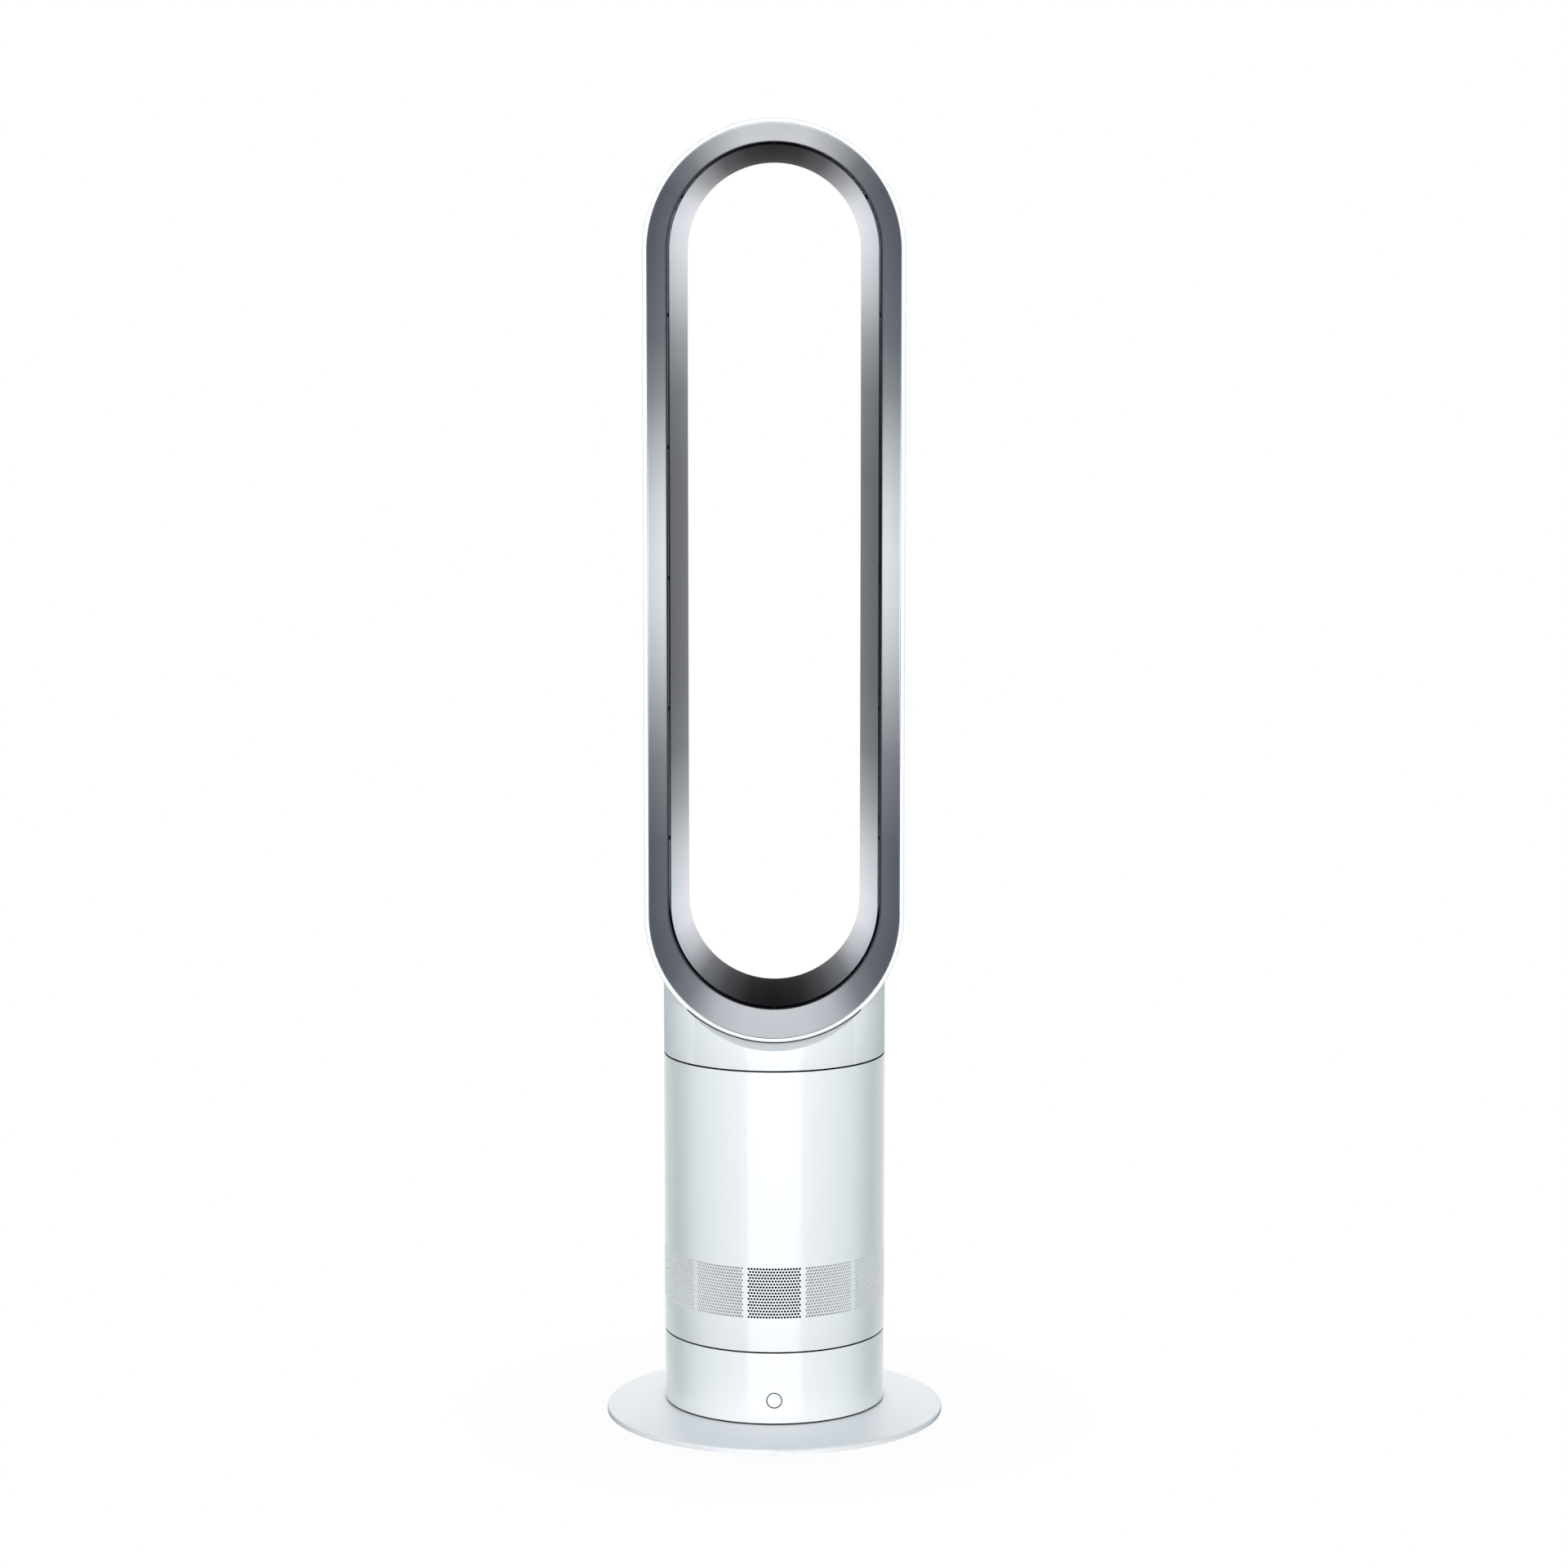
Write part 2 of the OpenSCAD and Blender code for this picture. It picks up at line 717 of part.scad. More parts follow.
module intake_bellmouth() {
    color("gray") translate([0, 0, inlet_top]) {
        rotate_extrude() intersection() {
            difference() {
                translate([throat_r + bell_r, 0]) circle(bell_r);
                translate([throat_r + bell_r, 0]) circle(bell_r - duct_t);
            }
            translate([throat_r - overrun, -bell_r - overrun]) square([bell_r + overrun, bell_r + overrun]);
        }
        translate([0, 0, -duct_t]) ring(throat_r + housing_flange_w, throat_r + duct_t / 2, duct_t);
    }
}

module impeller_housing() {
    low = inlet_top + touch;
    steps = [for (i = [0 : wall_steps]) wheel_z + wheel_h * i / wall_steps];
    color("gray") {
        rotate_extrude()
            polygon(concat([[throat_r, low]], [for (z = steps) [shroud_at(z), z]], [[passage_r, housing_end]],
                [[passage_r + duct_t, housing_end]],
                [for (i = [wall_steps : -1 : 0]) [shroud_at(steps[i]) + duct_t, steps[i]]],
                [[throat_r + duct_t, low]]));
        translate([0, 0, low]) ring(throat_r + housing_flange_w, throat_r + duct_t / 2, duct_t);
        translate([0, 0, housing_end - housing_flange_t])
            ring(passage_r + housing_flange_w, passage_r + duct_t / 2, housing_flange_t);
    }
}

// A thin bent sheet from an inner to an outer radius, as the blades and vanes have.
// Each of its rings is [height, inner radius, outer radius, angle].
module bent_sheet(rings, t) {
    n = len(rings);
    half = 90 / PI * t;
    points = [for (g = rings) each [
        [g[1] * cos(g[3] - half / g[1]), g[1] * sin(g[3] - half / g[1]), g[0]],
        [g[2] * cos(g[3] - half / g[2]), g[2] * sin(g[3] - half / g[2]), g[0]],
        [g[2] * cos(g[3] + half / g[2]), g[2] * sin(g[3] + half / g[2]), g[0]],
        [g[1] * cos(g[3] + half / g[1]), g[1] * sin(g[3] + half / g[1]), g[0]]]];
    sides = [for (i = [0 : n - 2], j = [0 : 3])
        let (a = 4 * i + j, b = 4 * i + (j + 1) % 4)
        each [[a, a + 4, b + 4], [a, b + 4, b]]];
    last = 4 * (n - 1);
    ends = [[0, 1, 2], [0, 2, 3], [last + 2, last + 1, last], [last + 3, last + 2, last]];
    polyhedron(points, concat(ends, sides));
}

module impeller() {
    low = wheel_z + overrun;
    steps = [for (i = [0 : wall_steps]) low + (wheel_h - overrun) * i / wall_steps];
    blade_low = low + blade_trim;
    blade_steps = [for (i = [0 : wall_steps]) blade_low + (wheel_top - blade_trim - blade_low) * i / wall_steps];
    rings = [for (z = blade_steps)
        [z, hub_at(z) - root_depth, shroud_at(z) - rim_gap, blade_wrap * along(z) * (2 - along(z)) / 2]];
    color("dimgray") {
        difference() {
            rotate_extrude() difference() {
                polygon(concat([[0, low]], [for (z = steps) [hub_at(z), z]], [[0, wheel_top]]));
                polygon(concat([[hub_boss_r, wheel_top + overrun]],
                    [[hub_boss_r, low + 2 * wheel_h / wall_steps]],
                    [for (i = [3 : wall_steps])
                        [max(hub_boss_r, hub_at(steps[i]) - hub_wall), steps[i] + hub_wall]]));
            }
            translate([0, 0, wheel_z]) cylinder(r = shaft_d / 2 + press, h = wheel_h + overrun);
        }
        for (i = [0 : blade_count - 1]) rotate([0, 0, i * 360 / blade_count]) bent_sheet(rings, blade_t);
    }
}

module diffuser_vanes() {
    steps = wall_steps / 2;
    rings = [for (i = [0 : steps])
        let (s = i / steps)
        [vane_z + blade_trim + (vane_h - 2 * blade_trim) * s, bucket_r + fit + vane_t / 2, passage_r - fit,
            -vane_wrap * (1 - s) * (1 - s)]];
    color("gray") {
        translate([0, 0, vane_z]) ring(bucket_r + fit + vane_t, bucket_r + fit, vane_h);
        for (i = [0 : vane_count - 1]) rotate([0, 0, i * 360 / vane_count]) bent_sheet(rings, vane_t);
    }
}

// Motor bucket in two halves, with the bearings' seats
module motor_bucket_lower() {
    seat = bearing_r + press;
    color("dimgray") {
        translate([0, 0, bucket_z]) difference() {
            cylinder(r = bucket_r, h = bucket_split - bucket_z);
            translate([0, 0, duct_t]) cylinder(r = bucket_r - duct_t, h = bucket_split - bucket_z);
            translate([0, 0, -overrun]) cylinder(r = seat, h = bucket_split);
        }
        translate([0, 0, bucket_z]) ring(seat + bearing_wall, seat, bearing_h + duct_t);
        translate([0, 0, bucket_z]) ring(seat + touch, shaft_d / 2 + overrun, duct_t - touch);
        translate([0, 0, bucket_z + duct_t / 2])
            ring(stator_r + press + duct_t, stator_r + press, stator_z + stator_h / 2 - bucket_z);
        translate([0, 0, bucket_z + duct_t / 2])
            ring(stator_r + overrun, stator_r - duct_t, stator_z - touch - bucket_z - duct_t / 2);
    }
}

module motor_bucket_upper() {
    seat = bearing_r + press;
    low = bucket_split + touch;
    post_orbit = driver_r - 2 * mount_r;
    cone_z = bucket_top - touch + cone_h * (bucket_r - post_orbit - mount_r / 2) / (bucket_r - cone_r);
    color("dimgray") {
        rotate_extrude() polygon([[bucket_r, low], [bucket_r, bucket_top], [cone_r, bucket_top + cone_h],
            [0, bucket_top + cone_h], [0, bucket_top + cone_h - duct_t],
            [cone_r - duct_t / 2, bucket_top + cone_h - duct_t],
            [bucket_r - duct_t, bucket_top - duct_t / 2], [bucket_r - duct_t, low]]);
        translate([0, 0, bearing_top - bearing_h])
            ring(seat + bearing_wall, seat, bucket_top + cone_h - duct_t / 2 - bearing_top + bearing_h);
        around(3, post_orbit) translate([0, 0, driver_z + board_t + touch])
            cylinder(r = mount_r / 2, h = cone_z - driver_z - board_t - touch);
    }
}

module motor_stator() {
    color("silver") translate([0, 0, stator_z]) difference() {
        union() {
            ring(stator_r, stator_r - yoke_w, stator_h);
            intersection() {
                for (i = [0 : stator_teeth - 1]) rotate([0, 0, i * 360 / stator_teeth])
                    translate([0, -tooth_w / 2, 0]) cube([stator_r - yoke_w / 2, tooth_w, stator_h]);
                ring(stator_r - yoke_w / 2, stator_bore, stator_h);
            }
        }
    }
}

module motor_coils() {
    inner = stator_bore + fit + overrun;
    half = tooth_w / 2 + coil_t;
    long = sqrt((stator_r - yoke_w) * (stator_r - yoke_w) - half * half) - fit - inner;
    color("peru") for (i = [0 : stator_teeth - 1]) rotate([0, 0, i * 360 / stator_teeth])
        translate([inner, 0, stator_z + stator_h / 2]) difference() {
            translate([0, -half, -stator_h / 2 - coil_t]) cube([long, 2 * half, stator_h + 2 * coil_t]);
            translate([-overrun, -tooth_w / 2 - touch, -stator_h / 2 - touch])
                cube([long + 2 * overrun, tooth_w + 2 * touch, stator_h + 2 * touch]);
        }
}

module bearing() {
    race = (bearing_r - shaft_d / 2) * 0.3;
    balls = 7;
    mid = (bearing_r + shaft_d / 2) / 2;
    ring(bearing_r, bearing_r - race, bearing_h);
    ring(shaft_d / 2 + race, shaft_d / 2 + running, bearing_h);
    around(balls, mid) translate([0, 0, bearing_h / 2]) sphere(r = mid - shaft_d / 2 - race - running);
}

module bearing_lower() {
    color("silver") translate([0, 0, bucket_z + duct_t]) bearing();
}

module bearing_upper() {
    color("silver") translate([0, 0, bearing_top - bearing_h]) bearing();
}

module driver_board() {
    color("darkgreen") translate([0, 0, driver_z]) ring(driver_r, driver_in, board_t);
    color("black") around(stator_teeth, (driver_r + driver_in) / 2)
        translate([-mount_r, -mount_r / 2, driver_z - board_t]) cube([2 * mount_r, mount_r, board_t]);
}

module rotor_magnet() {
    color("darkslategray") translate([0, 0, stator_z + (stator_h - magnet_h) / 2])
        ring(magnet_r, shaft_d / 2 + press, magnet_h);
}

module impeller_shaft() {
    color("silver") translate([0, 0, wheel_z + overrun + fit]) cylinder(r = shaft_d / 2, h = bearing_top - wheel_z);
}

// Mounts, seal and outlet above the wheel
module isolation_mounts() {
    color("black") around(mount_count, passage_r + duct_t + mount_r + touch)
        translate([0, 0, housing_end + touch]) cylinder(r = mount_r, h = mount_h);
}

module air_seal() {
    color("black") translate([0, 0, seal_level]) rotate_extrude()
        polygon([[passage_r + duct_t + touch, 0], [body_in - fit, seal_rise], [body_in - fit, seal_rise + seal_t],
            [passage_r + duct_t + touch, seal_t]]);
}

module outlet_duct() {
    low = housing_end + mount_h + 2 * touch;
    top = outlet_seat + fit;
    wide = body_in - outlet_ledge_w - fit;
    color("gray") {
        rotate_extrude()
            polygon([[passage_r, low], [wide - duct_t, top], [wide - duct_t, top + outlet_flange_t],
                [wide, top + outlet_flange_t], [wide, top], [passage_r + duct_t, low]]);
        translate([0, 0, top]) ring(body_in - fit, wide - duct_t / 2, outlet_flange_t);
        translate([0, 0, low]) ring(passage_r + housing_flange_w, passage_r + duct_t / 2, duct_t);
    }
}

module collar_seal() {
    color("black") translate([0, 0, outlet_seat + fit + outlet_flange_t])
        ring(body_in - fit, body_in - fit - spigot_t, seal_h);
}

// Collar: round wall whose top is cut by the loop's outline, a closed saddle roof with the air window, and a spigot
module nozzle_collar() {
    color("white") difference() {
        union() {
            translate([0, 0, collar_z]) cylinder(r = body_r, h = loop_low_z - collar_z);
            translate([0, 0, body_seam - spigot_drop]) cylinder(r = body_in - fit, h = spigot_drop + seam_gap);
        }
        loop_outline(loop_r + touch);
        difference() {
            translate([0, 0, collar_z + body_wall]) cylinder(r = body_in, h = loop_low_z);
            loop_outline(loop_r + touch + body_wall);
        }
        translate([0, 0, body_seam - spigot_drop - overrun])
            cylinder(r = body_in - fit - spigot_t, h = spigot_drop + seam_gap + body_wall + 2 * overrun);
        air_window();
    }
}

module loop_outline(r) {
    deep = 2 * body_r + 2 * overrun;
    translate([0, deep / 2, loop_low_z]) rotate([90, 0, 0]) cylinder(r = r, h = deep);
    translate([-r, -deep / 2, loop_low_z]) cube([2 * r, deep, r]);
}

module air_window() {
    translate([0, window_back, collar_z + body_wall + overrun]) linear_extrude(loop_r / 2)
        rounded_rect(window_w, window_d, window_round);
}

// Loop: a section [radius, distance in front of the axis] carried round both ends and up both sides
module loop_sweep() {
    for (end = [0, 1]) translate([0, 0, end == 0 ? loop_low_z : loop_high_z]) mirror([0, 0, 1 - end])
        rotate([90, 0, 0]) rotate_extrude(angle = 180, $fn = 180) children();
    for (side = [0, 1]) translate([0, 0, loop_low_z]) mirror([side, 0, 0]) mirror([0, 1, 0])
        linear_extrude(loop_straight) children();
}

// The shell's section without its hollow, or with an inset the hollow itself
module shell_block(inset) {
    corner = rear_round - inset;
    turn = rear_round - loop_rear;
    start = rear_mid - (inset > 0 ? overrun : 0);
    front = loop_front - (inset > 0 ? rim_depth : 0);
    translate([start, turn]) square([loop_r - inset - start, front - turn]);
    translate([start, inset - loop_rear]) square([loop_r - rear_round - start, corner + touch]);
    translate([loop_r - rear_round, turn]) circle(corner);
}

module nozzle_outer_shell() {
    color("white") difference() {
        loop_sweep() difference() {
            intersection() {
                shell_block(0);
                translate([rear_mid, -loop_rear]) square([loop_r - rear_mid, loop_front + loop_rear]);
            }
            shell_block(shell_wall);
            translate([0, loop_front - rim_depth - overrun]) square([rim_in, rim_depth + 2 * overrun]);
            translate([loop_r - rim_round, loop_front - rim_round]) difference() {
                square(rim_round + overrun);
                circle(rim_round);
            }
        }
        air_window();
    }
}

// A wall bowed towards the opening, from p to q, whose thickness goes from t0 to t1
function rightward(v) = [v[1], -v[0]] / norm(v);
function bowed(p, q, s) = p + (q - p) * s - rightward(q - p) * 4 * duct_bow * s * (1 - s);
function bowed_course(p, q, s) = q - p - rightward(q - p) * 4 * duct_bow * (1 - 2 * s);
module bowed_wall(p, q, t0, t1) {
    steps = [for (i = [0 : wall_steps]) i / wall_steps];
    polygon(concat([for (s = steps) bowed(p, q, s)],
        [for (i = [wall_steps : -1 : 0])
            let (s = steps[i])
            bowed(p, q, s) + rightward(bowed_course(p, q, s)) * (t0 + (t1 - t0) * s)]));
}

module nozzle_front_duct() {
    front = loop_front - rim_recess;
    color("silver") loop_sweep() intersection() {
        union() {
            bowed_wall([slot_r, slot_front], [rim_in - touch - rim_land, front], duct_wall, duct_wall);
            translate([slot_r + duct_wall, slot_front]) circle(duct_wall);
            translate([rim_in - touch - duct_wall, front - duct_wall]) square([duct_wall, duct_wall]);
        }
        translate([0, -loop_rear]) square([rim_in - touch, front + loop_rear]);
    }
}

module nozzle_rear_duct() {
    turn = rear_round - loop_rear;
    color("silver") loop_sweep() {
        bowed_wall([mouth_r, turn], [lip_r, slot_front + lip_ahead], duct_wall, lip_t);
        intersection() {
            translate([mouth_r + rear_round, turn]) difference() {
                circle(rear_round);
                circle(rear_round - duct_wall);
            }
            translate([mouth_r, -loop_rear]) square([rear_round, rear_round]);
        }
        translate([mouth_r + rear_round - touch, -loop_rear])
            square([rear_mid - touch - mouth_r - rear_round + touch, duct_wall]);
    }
}

// Small ribs that hold the slot open
module slot_spacers() {
    low = lip_r + lip_t + running;
    high = slot_r - running;
    rise = loop_straight / straight_spacers;
    color("dimgray") {
        for (end = [0, 1]) translate([0, 0, end == 0 ? loop_low_z : loop_high_z]) mirror([0, 0, 1 - end])
            for (a = [30, 90, 150]) rotate([0, -a, 0])
                translate([low, -slot_front, -spacer_w / 2]) cube([high - low, spacer_l, spacer_w]);
        for (side = [0, 1], i = [0 : straight_spacers - 1]) mirror([side, 0, 0])
            translate([low, -slot_front, loop_low_z + rise * (i + 0.5)]) cube([high - low, spacer_l, spacer_w]);
    }
}

// Curved vanes inside the loop's foot, which turn the air up both sides and seat on the shell's rear wall
module turning_vanes() {
    outer = loop_r - shell_wall;
    color("gray") translate([0, 0, loop_low_z]) intersection() {
        rotate([90, 0, 0]) translate([0, 0, -loop_rear]) linear_extrude(loop_rear - rear_round)
            for (side = [0, 1]) mirror([side, 0]) for (a = turn_vane_angles)
                rotate(a - 90) translate([outer, turn_vane_r]) intersection() {
                    difference() {
                        circle(turn_vane_r);
                        circle(turn_vane_r - turn_vane_t);
                    }
                    translate([-turn_vane_r, -turn_vane_r]) square(turn_vane_r);
                }
        mirror([0, 0, 1]) rotate([90, 0, 0]) rotate_extrude(angle = 180) shell_block(shell_wall + fit);
    }
}

base_plate();
foot_pads();
plate_screws();
base_chassis();
base_housing();
power_board();
control_board();
button_switch();
power_button();
cord_gland();
oscillation_motor();
motor_screws();
drive_pinion();
slide_ring();
retaining_clip();
pivot_bush();
turntable();
ring_gear();
casing_screws();
body_casing();
floor_foam();
silencing_foam();
intake_bellmouth();
impeller_housing();
isolation_mounts();
air_seal();
diffuser_vanes();
motor_bucket_lower();
motor_bucket_upper();
motor_stator();
motor_coils();
bearing_lower();
bearing_upper();
driver_board();
impeller();
rotor_magnet();
impeller_shaft();
outlet_duct();
collar_seal();
nozzle_collar();
nozzle_outer_shell();
nozzle_front_duct();
nozzle_rear_duct();
slot_spacers();
turning_vanes();
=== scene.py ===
"""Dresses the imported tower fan: fine outer shells, finishes for every part, a camera and a white studio."""

import math

import bmesh
import bpy
from bpy.props import FloatProperty, FloatVectorProperty, IntProperty, PointerProperty
from mathutils import Matrix, Vector


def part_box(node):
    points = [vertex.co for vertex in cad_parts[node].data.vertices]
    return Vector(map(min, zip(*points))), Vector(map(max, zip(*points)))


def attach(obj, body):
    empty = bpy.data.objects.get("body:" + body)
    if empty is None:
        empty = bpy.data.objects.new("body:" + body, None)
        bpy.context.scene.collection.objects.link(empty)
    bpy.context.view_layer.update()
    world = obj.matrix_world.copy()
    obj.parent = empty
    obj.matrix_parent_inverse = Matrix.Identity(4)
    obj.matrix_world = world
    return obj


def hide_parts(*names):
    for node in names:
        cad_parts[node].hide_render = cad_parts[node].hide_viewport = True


bl_info = {
    "name": "Tower fan dresser",
    "version": (1, 0, 0),
    "blender": (4, 5, 0),
    "location": "3D View > Sidebar > Fan",
    "description": "Models the fan's fine outer shells round its packed frame, and finishes every part",
    "category": "Object",
}

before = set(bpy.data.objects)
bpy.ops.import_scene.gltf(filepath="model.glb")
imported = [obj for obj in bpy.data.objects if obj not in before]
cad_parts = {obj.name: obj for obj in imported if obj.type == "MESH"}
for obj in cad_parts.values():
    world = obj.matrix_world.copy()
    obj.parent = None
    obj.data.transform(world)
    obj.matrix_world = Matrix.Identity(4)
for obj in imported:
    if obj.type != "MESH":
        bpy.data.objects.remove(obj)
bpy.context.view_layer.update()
MM = 0.001
FULL_TURN = 2 * math.pi
NEAR = 1e-5  # two places closer than this are one
WITHIN = 0.9  # a face deeper than this share of a wall is the wall's inner face
HAIR = 0.00005
CLEARANCE = 0.0001  # between pieces that touch
FINE_ROUND = 0.0002  # round on the edges of the button and of the front duct
EDGE_ROUND = 0.0003  # round on the edges of the white shells
RIM_ROUND = 0.0008  # round on the outer edge of the loop's rim
RIM_GAP, RIM_STEP, RIM_LAP = 0.0006, 0.0003, 0.0005  # front duct: inside the rim, behind its front, and under it
SADDLE_ROUND = 0.0007  # round on the edge of the collar's hollowed top
SADDLE_FACE = 1e-4  # the collar's faces with a larger area than this are its hollowed top
SPIGOT_GAP, SPIGOT_DEPTH = 0.0003, 0.008  # of the collar's spigot in the body's wall
SHEET_WELD = 2e-5  # merges the doubles between cells of the intake band, and no corners of a hole
SLOT_FRONT = 0.001  # how far in front of the axis the front duct ends, at the slot
LIP_FRONT = 0.0015  # how far in front of the axis the rear duct's lip reaches
LIP_EDGE = 0.0005  # thickness of that lip
DUCT_STEPS = 12  # facets of a duct's bowed wall
HOLE_SIDES = 8
HOLE_TURN = math.radians(1.55)  # from one hole of the intake band to the next, round the axis
SHADE_SHEET_DEPTHS = (HAIR, 0.0006)  # how far inside the wall the band's painted shade sheet starts and ends
SEAM_RING_DEPTH = 0.0011  # how far inside the wall a seam's black ring of painted shade starts
SEAM_RING_WIDTH, SEAM_RING_ROUND = 0.0006, 0.0001
SEAM_RING_GAP = 0.00015  # over and under the ring
BUTTON_SIDES = 48
BUTTON_CELL = 0.011  # half the side of the square round the button's hole
CASING_LOW, CASING_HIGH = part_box("body_casing")
HOUSING_LOW, HOUSING_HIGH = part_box("base_housing")
SHELL_LOW, SHELL_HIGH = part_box("nozzle_outer_shell")
BUTTON_LOW, BUTTON_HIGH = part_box("power_button")


# Sizes and colours that a user would change


def length(name, about, default, low=0.0, high=2.0):
    return FloatProperty(
        name=name, description=about, default=default, min=low, max=high, precision=5, unit="LENGTH"
    )


def colour(name, about, default):
    return FloatVectorProperty(
        name=name, description=about, default=default, min=0.0, max=1.0, size=3, subtype="COLOR"
    )


class LoopSizes(bpy.types.PropertyGroup):
    """Sizes of the air loop"""

    radius: length("Outer radius", "Outer radius of the loop's round ends", SHELL_HIGH.x)
    front: length("Front depth", "How far the loop's rim stands in front of the axis", -SHELL_LOW.y)
    rear: length("Rear depth", "How far the loop's back stands behind the axis", SHELL_HIGH.y)
    rim_width: length("Rim width", "Width of the white rim seen from the front", 0.0033)
    rim_depth: length("Rim depth", "Thickness of the rim's turned-in edge", 0.0016)
    wall: length("Shell wall", "Wall of the outer shell", 0.0024)
    rear_round: length("Rear round", "Radius of the loop's rear edge", 0.009)
    slot_radius: length("Slot radius", "Radius of the front duct's inner edge, at the slot", 0.0818)
    lip_radius: length("Lip radius", "Radius of the rear duct's front lip", 0.0802)
    mouth_radius: length("Mouth radius", "Smallest radius of the rear duct", 0.0673)
    duct_wall: length("Duct wall", "Wall of both silver ducts", 0.0016)
    duct_bow: length("Duct bow", "How far a duct's wall bows towards the opening", 0.0016)
    steps: IntProperty(name="Steps", description="Facets of each round end", default=96, min=24, max=240)


class BodySizes(bpy.types.PropertyGroup):
    """Sizes of the body, the collar and the base"""

    radius: length("Body radius", "Outer radius of the body and the collar", CASING_HIGH.x)
    wall: length("Body wall", "Wall of the body", 0.0025)
    skin: length("Skin", "Wall of the body where the holes go through it", 0.001)
    base_radius: length("Base radius", "Outer radius of the base cylinder", HOUSING_HIGH.x)
    base_wall: length("Base wall", "Wall of the base cylinder", 0.0023)
    seam: length("Seam", "Height of the dark gaps between base, body and collar", 0.0012)
    hole_radius: length("Hole radius", "Radius of one hole of the intake band", 0.00096)
    row_pitch: length("Row pitch", "Height from one row of holes to the next", 0.002355)
    band_middle: length("Band height", "Height of the intake band's middle", 0.11425)
    patches: IntProperty(name="Patches", description="Patches of holes round the body", default=12, min=6, max=24)
    rows: IntProperty(name="Rows", description="Rows of holes in a patch", default=17, min=3, max=25)
    columns: IntProperty(name="Columns", description="Holes in a patch's widest row", default=18, min=3, max=24)
    # painted shadow: thickness of the black strip under the loop's rim
    gasket: length("Gasket", "Thickness of the dark gasket under the loop's rim", 0.0007)
    button_radius: length("Button radius", "Radius of the power button", 0.0054)
    button_gap: length("Button gap", "Dark gap round the power button", 0.0008)


class FinishColours(bpy.types.PropertyGroup):
    """Colours of the finishes"""

    white: colour("White", "Glossy white of the shells", (0.86, 0.872, 0.88))
    # painted light: a lighter copy of the shell white, for hole walls and the collar's hollowed top in shade
    inner_white: colour("Inner white", "Matt white inside the holes and on the collar's hollow", (0.9, 0.905, 0.915))
    plate: colour("Plate", "Pale grey of the foot plate", (0.9, 0.895, 0.915))
    silver: colour("Silver", "Bright metal of the ducts", (0.74, 0.762, 0.815))
    dark: colour("Dark plastic", "Moulded dark plastic of the inner parts", (0.05, 0.053, 0.058))
    grey: colour("Grey plastic", "Moulded grey plastic of the air path", (0.30, 0.31, 0.33))
    ivory: colour("Ivory plastic", "Bearing plastic", (0.80, 0.76, 0.66))
    # painted shade: this black stands for the shade in gaps, hollows and behind the front holes
    shade: colour("Shade", "Black of the gaps and of the lining behind the holes", (0.006, 0.006, 0.007))
    # painted shade: grey of the sheet behind the holes beside the front ones
    lining: colour("Lining", "Grey of the lining behind the holes beside the front ones", (0.24, 0.25, 0.26))
    rubber: colour("Rubber", "Feet, seals and the cord inlet", (0.028, 0.028, 0.03))
    foam: colour("Foam", "Open-cell sound foam", (0.055, 0.055, 0.06))
    board: colour("Circuit board", "Solder mask of the boards", (0.03, 0.17, 0.07))
    steel: colour("Steel", "Plain steel of screws, shaft and stator", (0.58, 0.59, 0.61))
    brass: colour("Brass", "Machined brass", (0.70, 0.52, 0.22))
    copper: colour("Copper", "Enamelled winding wire", (0.68, 0.30, 0.13))


class StudioSizes(bpy.types.PropertyGroup):
    """Camera and studio"""

    lens: FloatProperty(name="Lens", description="Focal length in millimetres", default=95.83, min=20, max=300)
    distance: length("Distance", "How far the camera stands in front of the axis", 3.21, 0.5, 10)
    height: length("Height", "Height of the camera", 0.92, 0, 5)
    aside: length("Aside", "How far the camera stands to the right", 0.0075, -1, 1)
    pitch: FloatProperty(
        name="Pitch", description="How far the camera looks down", default=math.radians(6.62), subtype="ANGLE"
    )
    world_level: FloatProperty(name="World level", description="Light from all round", default=0.25, min=0, max=2)
    front_power: FloatProperty(name="Front power", description="Power of the front softbox", default=122, min=0)
    side_power: FloatProperty(name="Side power", description="Power of each side softbox", default=13, min=0)
    rear_power: FloatProperty(name="Rear power", description="Power of the rear softbox", default=145, min=0)
    band_level: FloatProperty(
        name="Band level", description="Level of the panel in front, which the round body shows as a band",
        default=2.6, min=0, max=10,
    )


# Mesh work


def arc_point(centre, radius, degrees):
    turn = math.radians(degrees)
    return Vector((centre[0] + radius * math.cos(turn), centre[1] + radius * math.sin(turn)))


def bowed(start, end, bow, steps):
    """Points from start to end on a wall that bows to the left of its course."""
    along = end - start
    aside = Vector((-along.y, along.x)).normalized()
    return [start + along * (i / steps) + aside * 4 * bow * (i / steps) * (1 - i / steps) for i in range(steps + 1)]


def offset_line(points, distances):
    """The same line moved to its right by a distance at each point."""
    moved = []
    for i, point in enumerate(points):
        course = points[min(i + 1, len(points) - 1)] - points[max(i - 1, 0)]
        aside = Vector((course.y, -course.x)).normalized()
        moved.append(point + aside * distances[i])
    return moved


def verts_in(geom):
    return [g for g in geom if isinstance(g, bmesh.types.BMVert)]


def edges_in(geom):
    return [g for g in geom if isinstance(g, bmesh.types.BMEdge)]


def verts_of(edges):
    return list(dict.fromkeys(v for e in edges for v in e.verts))


def edges_of(verts):
    return list(dict.fromkeys(e for v in verts for e in v.link_edges))


def faces_of(verts):
    return list(dict.fromkeys(f for v in verts for f in v.link_faces))


def edges_at(bm, axis, value):
    """The edges that lie at one value of x (axis 0) or z (axis 2)."""
    return [e for e in bm.edges if all(abs(v.co[axis] - value) < NEAR for v in e.verts)]


def extruded(bm, edges):
    """Extrudes a line of edges in place, and gives the new vertices and the new line."""
    made = bmesh.ops.extrude_edge_only(bm, edges=edges)["geom"]
    return verts_in(made), [e for e in edges_in(made) if len(e.link_faces) == 1]


